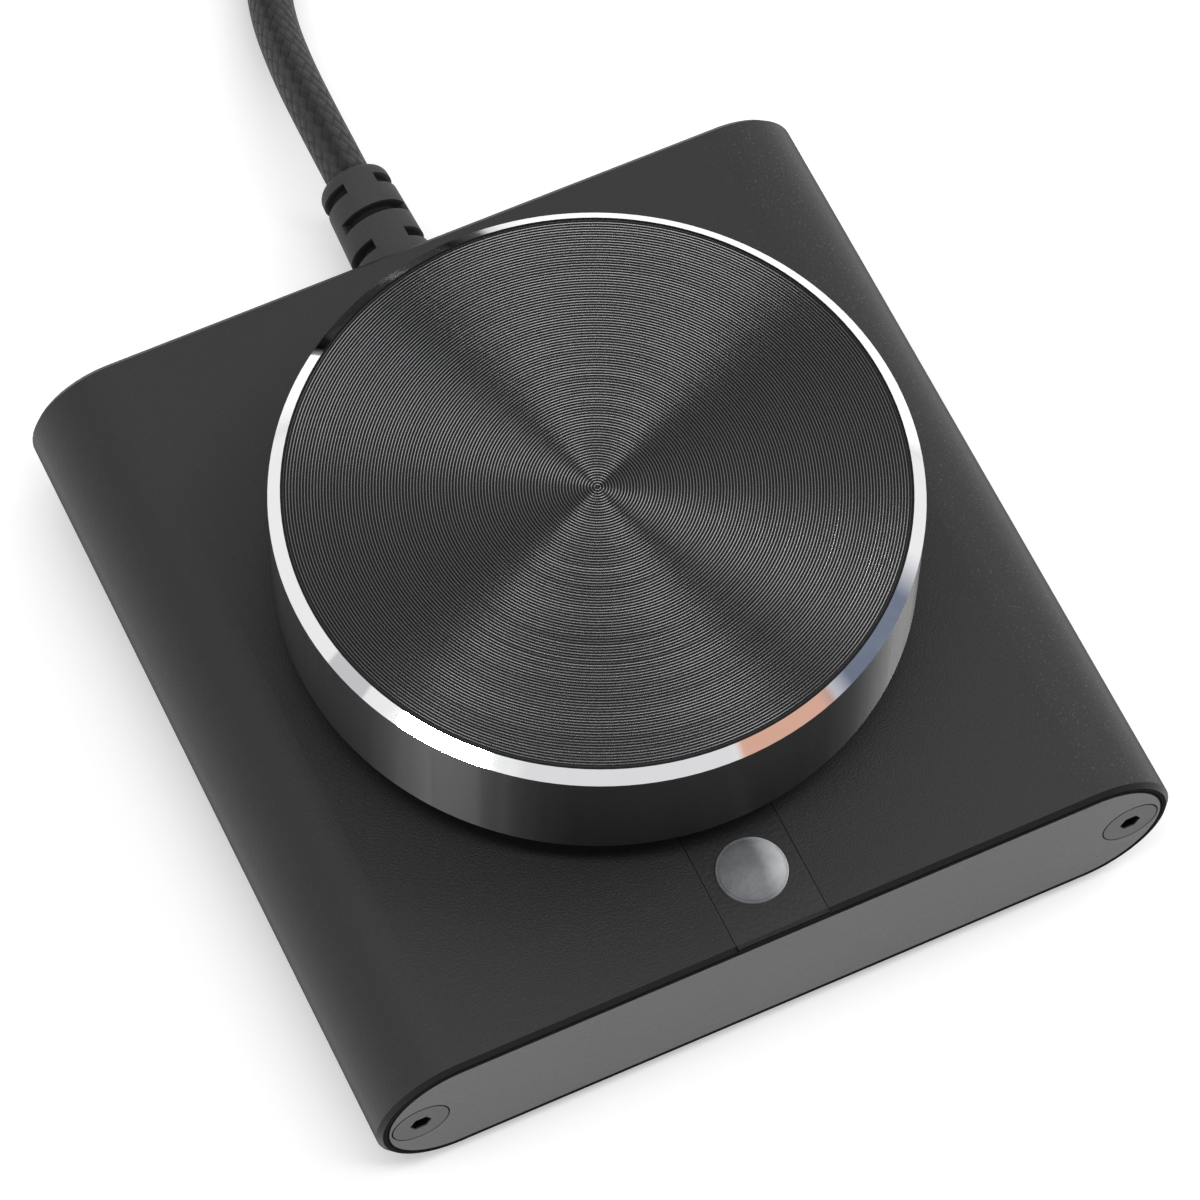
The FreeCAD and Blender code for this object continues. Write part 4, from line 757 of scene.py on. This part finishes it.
lens_low, lens_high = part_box("status_lens")
lens_y = (lens_low.y + lens_high.y) / 2
lens_r, lens_rise = 2.7, 0.9
ball_r = (lens_r**2 + lens_rise**2) / (2 * lens_rise)
dome_spots = []
for i in range(15):
    slope = math.asin(2.5 / ball_r) * i / 14
    dome_spots.append((ball_r * math.sin(slope), 15.3 - ball_r * (1 - math.cos(slope))))
rim_spots = [(2.53, 14.5), (2.58, 14.5), (2.62, 14.58), (2.67, 14.57), (2.7, 14.5)]
collar_spots = [(2.7, 12.87), (3.35, 12.87), (3.35, 12.1), (1.5, 12.1), (1.5, 8.5), (0, 8.5)]
lens = turned_round(traced("status_dome", dome_spots + rim_spots + collar_spots), 72)
lens.data.transform(Matrix.Translation((0, lens_y, 0)))
alone(lens)
bpy.ops.object.shade_smooth_by_angle(angle=math.radians(30))


def frosted():
    finish = Finish("frosted_lens")
    spot = finish.place()
    frost = finish.noise(spot, 0.00018, 4)
    cloud = finish.noise(spot, 0.0016, 3)
    across = finish.node("SeparateXYZ", {}, {"Vector": spot}, "X")
    # Painted light: the lens is coloured much lighter towards its +x side.
    glow = finish.ramp(across / 0.003 + cloud * 0.3, (0.2, 0.0), (1.05, 1.0), smooth=True)
    stops = (0.3, (0.1, 0.104, 0.11)), (0.7, (0.17, 0.176, 0.188))
    dull = finish.ramp(frost * 0.35 + cloud * 0.65, *stops)
    shade = finish.blend(glow, dull, (0.5, 0.51, 0.52))
    normal = finish.bumps(frost, 0.00003)
    return finish.done(shade, 0.42 + 0.1 * frost, normal)


lens.data.materials.append(frosted())
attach(lens, "base")
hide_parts("status_lens")

# Knob: turned from aluminium bar and anodised black, its top faced in fine rings whose
# crests are painted brighter and whose grooves are painted darker, a painted highlight and
# shade, and the chamfer cut bright afterwards. It is pressed onto its hub.
top, outer, groove, deep = 28.02, 24.1, 0.2274, 0.033
land = outer - 0.93
knob_spots = []
for i in range(int(land / groove) * 5):
    turn = i / 5
    hollow = 1 - (2 * (turn % 1) - 1) ** 2
    knob_spots.append((turn * groove, top - deep * hollow))
knob_spots += [(land - 0.2, top), (land, top)]
knob_spots += [(outer, top - 0.81)]
knob_spots += [(outer, 17.7), (outer - 0.08, 17.48), (outer - 0.3, 17.35)]
knob_spots += [(22.6, 17.35), (22.38, 17.43), (22.3, 17.65), (22.3, 26.02), (0, 26.02)]
knob = turned_round(traced("turned_knob", knob_spots), 144)
alone(knob)
bpy.ops.object.shade_smooth_by_angle(angle=math.radians(30))


def faced_black():
    """Black anodised aluminium with the marks of the facing tool between its rings; the ring
    crests carry a painted highlight and the grooves painted shade.
    """
    finish = Finish("faced_anodised")
    spot = finish.place()
    across = finish.node("SeparateXYZ", {}, {"Vector": spot}, "X")
    deep_in = across.also("Y")
    high_up = across.also("Z")
    out = (across * across + deep_in * deep_in) ** 0.5
    section = finish.node("CombineXYZ", {}, {"X": out, "Y": 0.0, "Z": high_up})
    lines = finish.noise(section, 0.00008, 3)
    cloud = finish.noise(spot, 0.009, 2)
    ridge = (high_up - (top - deep) / 1000) / (deep / 1000)
    # Painted highlight and shade: the crests get a bright metallic colour and the grooves near
    # black.
    painted_crest_light = finish.ramp(ridge * 0.8 + lines * 0.2, (0.4, 0.0), (0.74, 1.0), smooth=True)
    painted_crest_light = painted_crest_light * (out < (land - 0.22) / 1000)
    shade = finish.blend(painted_crest_light, (0.003, 0.003, 0.0032), (0.135, 0.135, 0.138))
    rough = 0.14 + 0.06 * lines + 0.05 * cloud
    normal = finish.bumps(lines, 0.000004)
    return finish.done(shade, rough, normal, Metallic=0.8 * painted_crest_light, Specular_IOR_Level=0.2)


def satin_black():
    """Black anodised aluminium, turned fine, so that light is drawn out up and down it."""
    finish = Finish("satin_anodised")
    spot = finish.place()
    round_it = finish.node("Mapping", {}, {"Vector": spot, "Scale": (0.02, 0.02, 1)})
    lines = finish.noise(round_it, 0.00007, 3)
    up_it = finish.node("Mapping", {}, {"Vector": spot, "Scale": (1, 1, 0.02)})
    upright = finish.noise(up_it, 0.0012, 3)
    shade = finish.ramp(lines * 0.5 + upright * 0.5, (0.25, 0.002), (0.75, 0.005))
    normal = finish.bumps(lines, 0.000008)
    turned = {"Anisotropic": 0.97, "Anisotropic_Rotation": 0.25}
    return finish.done(shade, 0.38 + 0.14 * upright, normal, Specular_IOR_Level=0.2, **turned)


def bright_cut():
    """Aluminium as the diamond tool leaves it."""
    finish = Finish("bright_chamfer")
    spot = finish.place()
    across = finish.node("SeparateXYZ", {}, {"Vector": spot}, "X")
    deep_in = across.also("Y")
    out = (across * across + deep_in * deep_in) ** 0.5
    section = finish.node("CombineXYZ", {}, {"X": out, "Y": 0.0, "Z": 0.0})
    lines = finish.noise(section, 0.00008, 3)
    smear = finish.noise(spot, 0.0012, 3)
    shade = finish.blend(lines * 0.5 + smear * 0.5, (0.86, 0.865, 0.88), (0.95, 0.95, 0.95))
    normal = finish.bumps(lines, 0.0000012)
    return finish.done(shade, 0.025 + 0.03 * smear, normal, Metallic=1.0)


knob.data.materials.append(satin_black())
knob.data.materials.append(bright_cut())
knob.data.materials.append(faced_black())
for face in knob.data.polygons:
    middle = face.center * 1000
    out = math.hypot(middle.x, middle.y)
    if top - 0.8 < middle.z:
        face.material_index = 1 if out > land else 2
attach(knob, "knob")
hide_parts("knob_shell")

# Bright cards low at the left and right of the table, in whose light only the knob stands.
# Its finely turned side draws their reflections out into upright bands.
near_knob = bpy.data.collections.new("near_knob")
near_knob.objects.link(knob)
card_reach = 1.2
for name, bearing, rise, width, height, power in (
    ("left_card", -158, 36, 0.46, 0.46, 55),
    ("right_card", -17, 28, 0.43, 0.12, 75),
):
    turn, lift = math.radians(bearing), math.radians(rise)
    level = card_reach * math.cos(lift)
    place = (level * math.cos(turn), level * math.sin(turn), card_reach * math.sin(lift))
    card = soft_box(name, place, (0, 0, 0), width, height, power)
    card.visible_diffuse = False
    card.light_linking.receiver_collection = near_knob

# Strain relief: soft black rubber moulded over the cable, with staggered slots that let
# it bend, and a collar that grips the rear plate.
relief = eased(copied("strain_relief", "cable_relief"), 0.00016, 3, 35)


def slotted_rubber():
    """Black rubber with a fine sheen outside, rougher down in the slots and darkened there with
    painted shade.
    """
    finish = Finish("relief_rubber")
    spot = finish.place()
    across = finish.node("SeparateXYZ", {}, {"Vector": spot}, "X")
    along = across.also("Y")
    up = across.also("Z") - 0.0055
    out = (across * across + up * up) ** 0.5
    skin = 0.00333 - (along - 0.0324) * 0.0385
    # Painted shade: the colour is darker down in the slots.
    painted_slot_shade = finish.ramp((skin - out) / 0.001, (0.12, 0.0), (0.4, 1.0))
    painted_slot_shade = painted_slot_shade * (along < 0.0436) * (along > 0.0325)
    fine = finish.noise(spot, 0.00025, 3)
    cloud = finish.noise(spot, 0.006, 2)
    outside = finish.ramp(fine * 0.6 + cloud * 0.4, (0.3, 0.022), (0.7, 0.034))
    shade = finish.blend(painted_slot_shade, outside, (0.0035, 0.0035, 0.0038))
    rough = 0.57 + 0.1 * cloud + 0.3 * painted_slot_shade
    return finish.done(shade, rough, finish.bumps(fine, 0.000015))


relief.data.materials.append(slotted_rubber())
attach(relief, "base")
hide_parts("strain_relief")


# Tie: a strap of hook-and-loop tape round the wound cable, its loop side out, with the
# end pressed down over itself.
tie = eased(copied("coil_tie", "cable_tie"), 0.0003, 3, 50)


def loop_pile():
    finish = Finish("loop_pile")
    spot = finish.place()
    curls = finish.node("TexVoronoi", {}, {"Vector": spot, "Scale": 2600.0})
    fuzz = finish.noise(spot, 0.0002, 4)
    shade = finish.ramp(curls * 0.7 + fuzz * 0.3, (0.1, 0.03), (0.7, 0.008))
    normal = finish.bumps(curls, 0.00015)
    normal = finish.bumps(fuzz, 0.00004, normal)
    return finish.done(shade, 0.9 - 0.08 * fuzz, normal, Sheen_Weight=0.4, Sheen_Roughness=0.6)


tie.data.materials.append(loop_pile())
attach(tie, "base")
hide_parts("coil_tie")

# Plug: a rubber grip moulded over a folded steel shell, with a white tongue that carries
# four gold contacts.
grip = eased(copied("plug_overmould", "plug_grip"), 0.0005, 3, 25)
grip.data.materials.append(moulded("grip_rubber", 0.01, 0.017, 0.55, 0.0003, 0.00002))
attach(grip, "base")
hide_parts("plug_overmould")
coat("plug_shell", dull_metal("plug_steel", (0.66, 0.66, 0.65), 0.2, lines=(0.1, 1, 1)))
coat("plug_tongue", moulded("white_tongue", 0.68, 0.74, 0.4))
coat("plug_contacts", dull_metal("contact_gilt", (0.9, 0.66, 0.26), 0.22, lines=(0.1, 1, 1)))
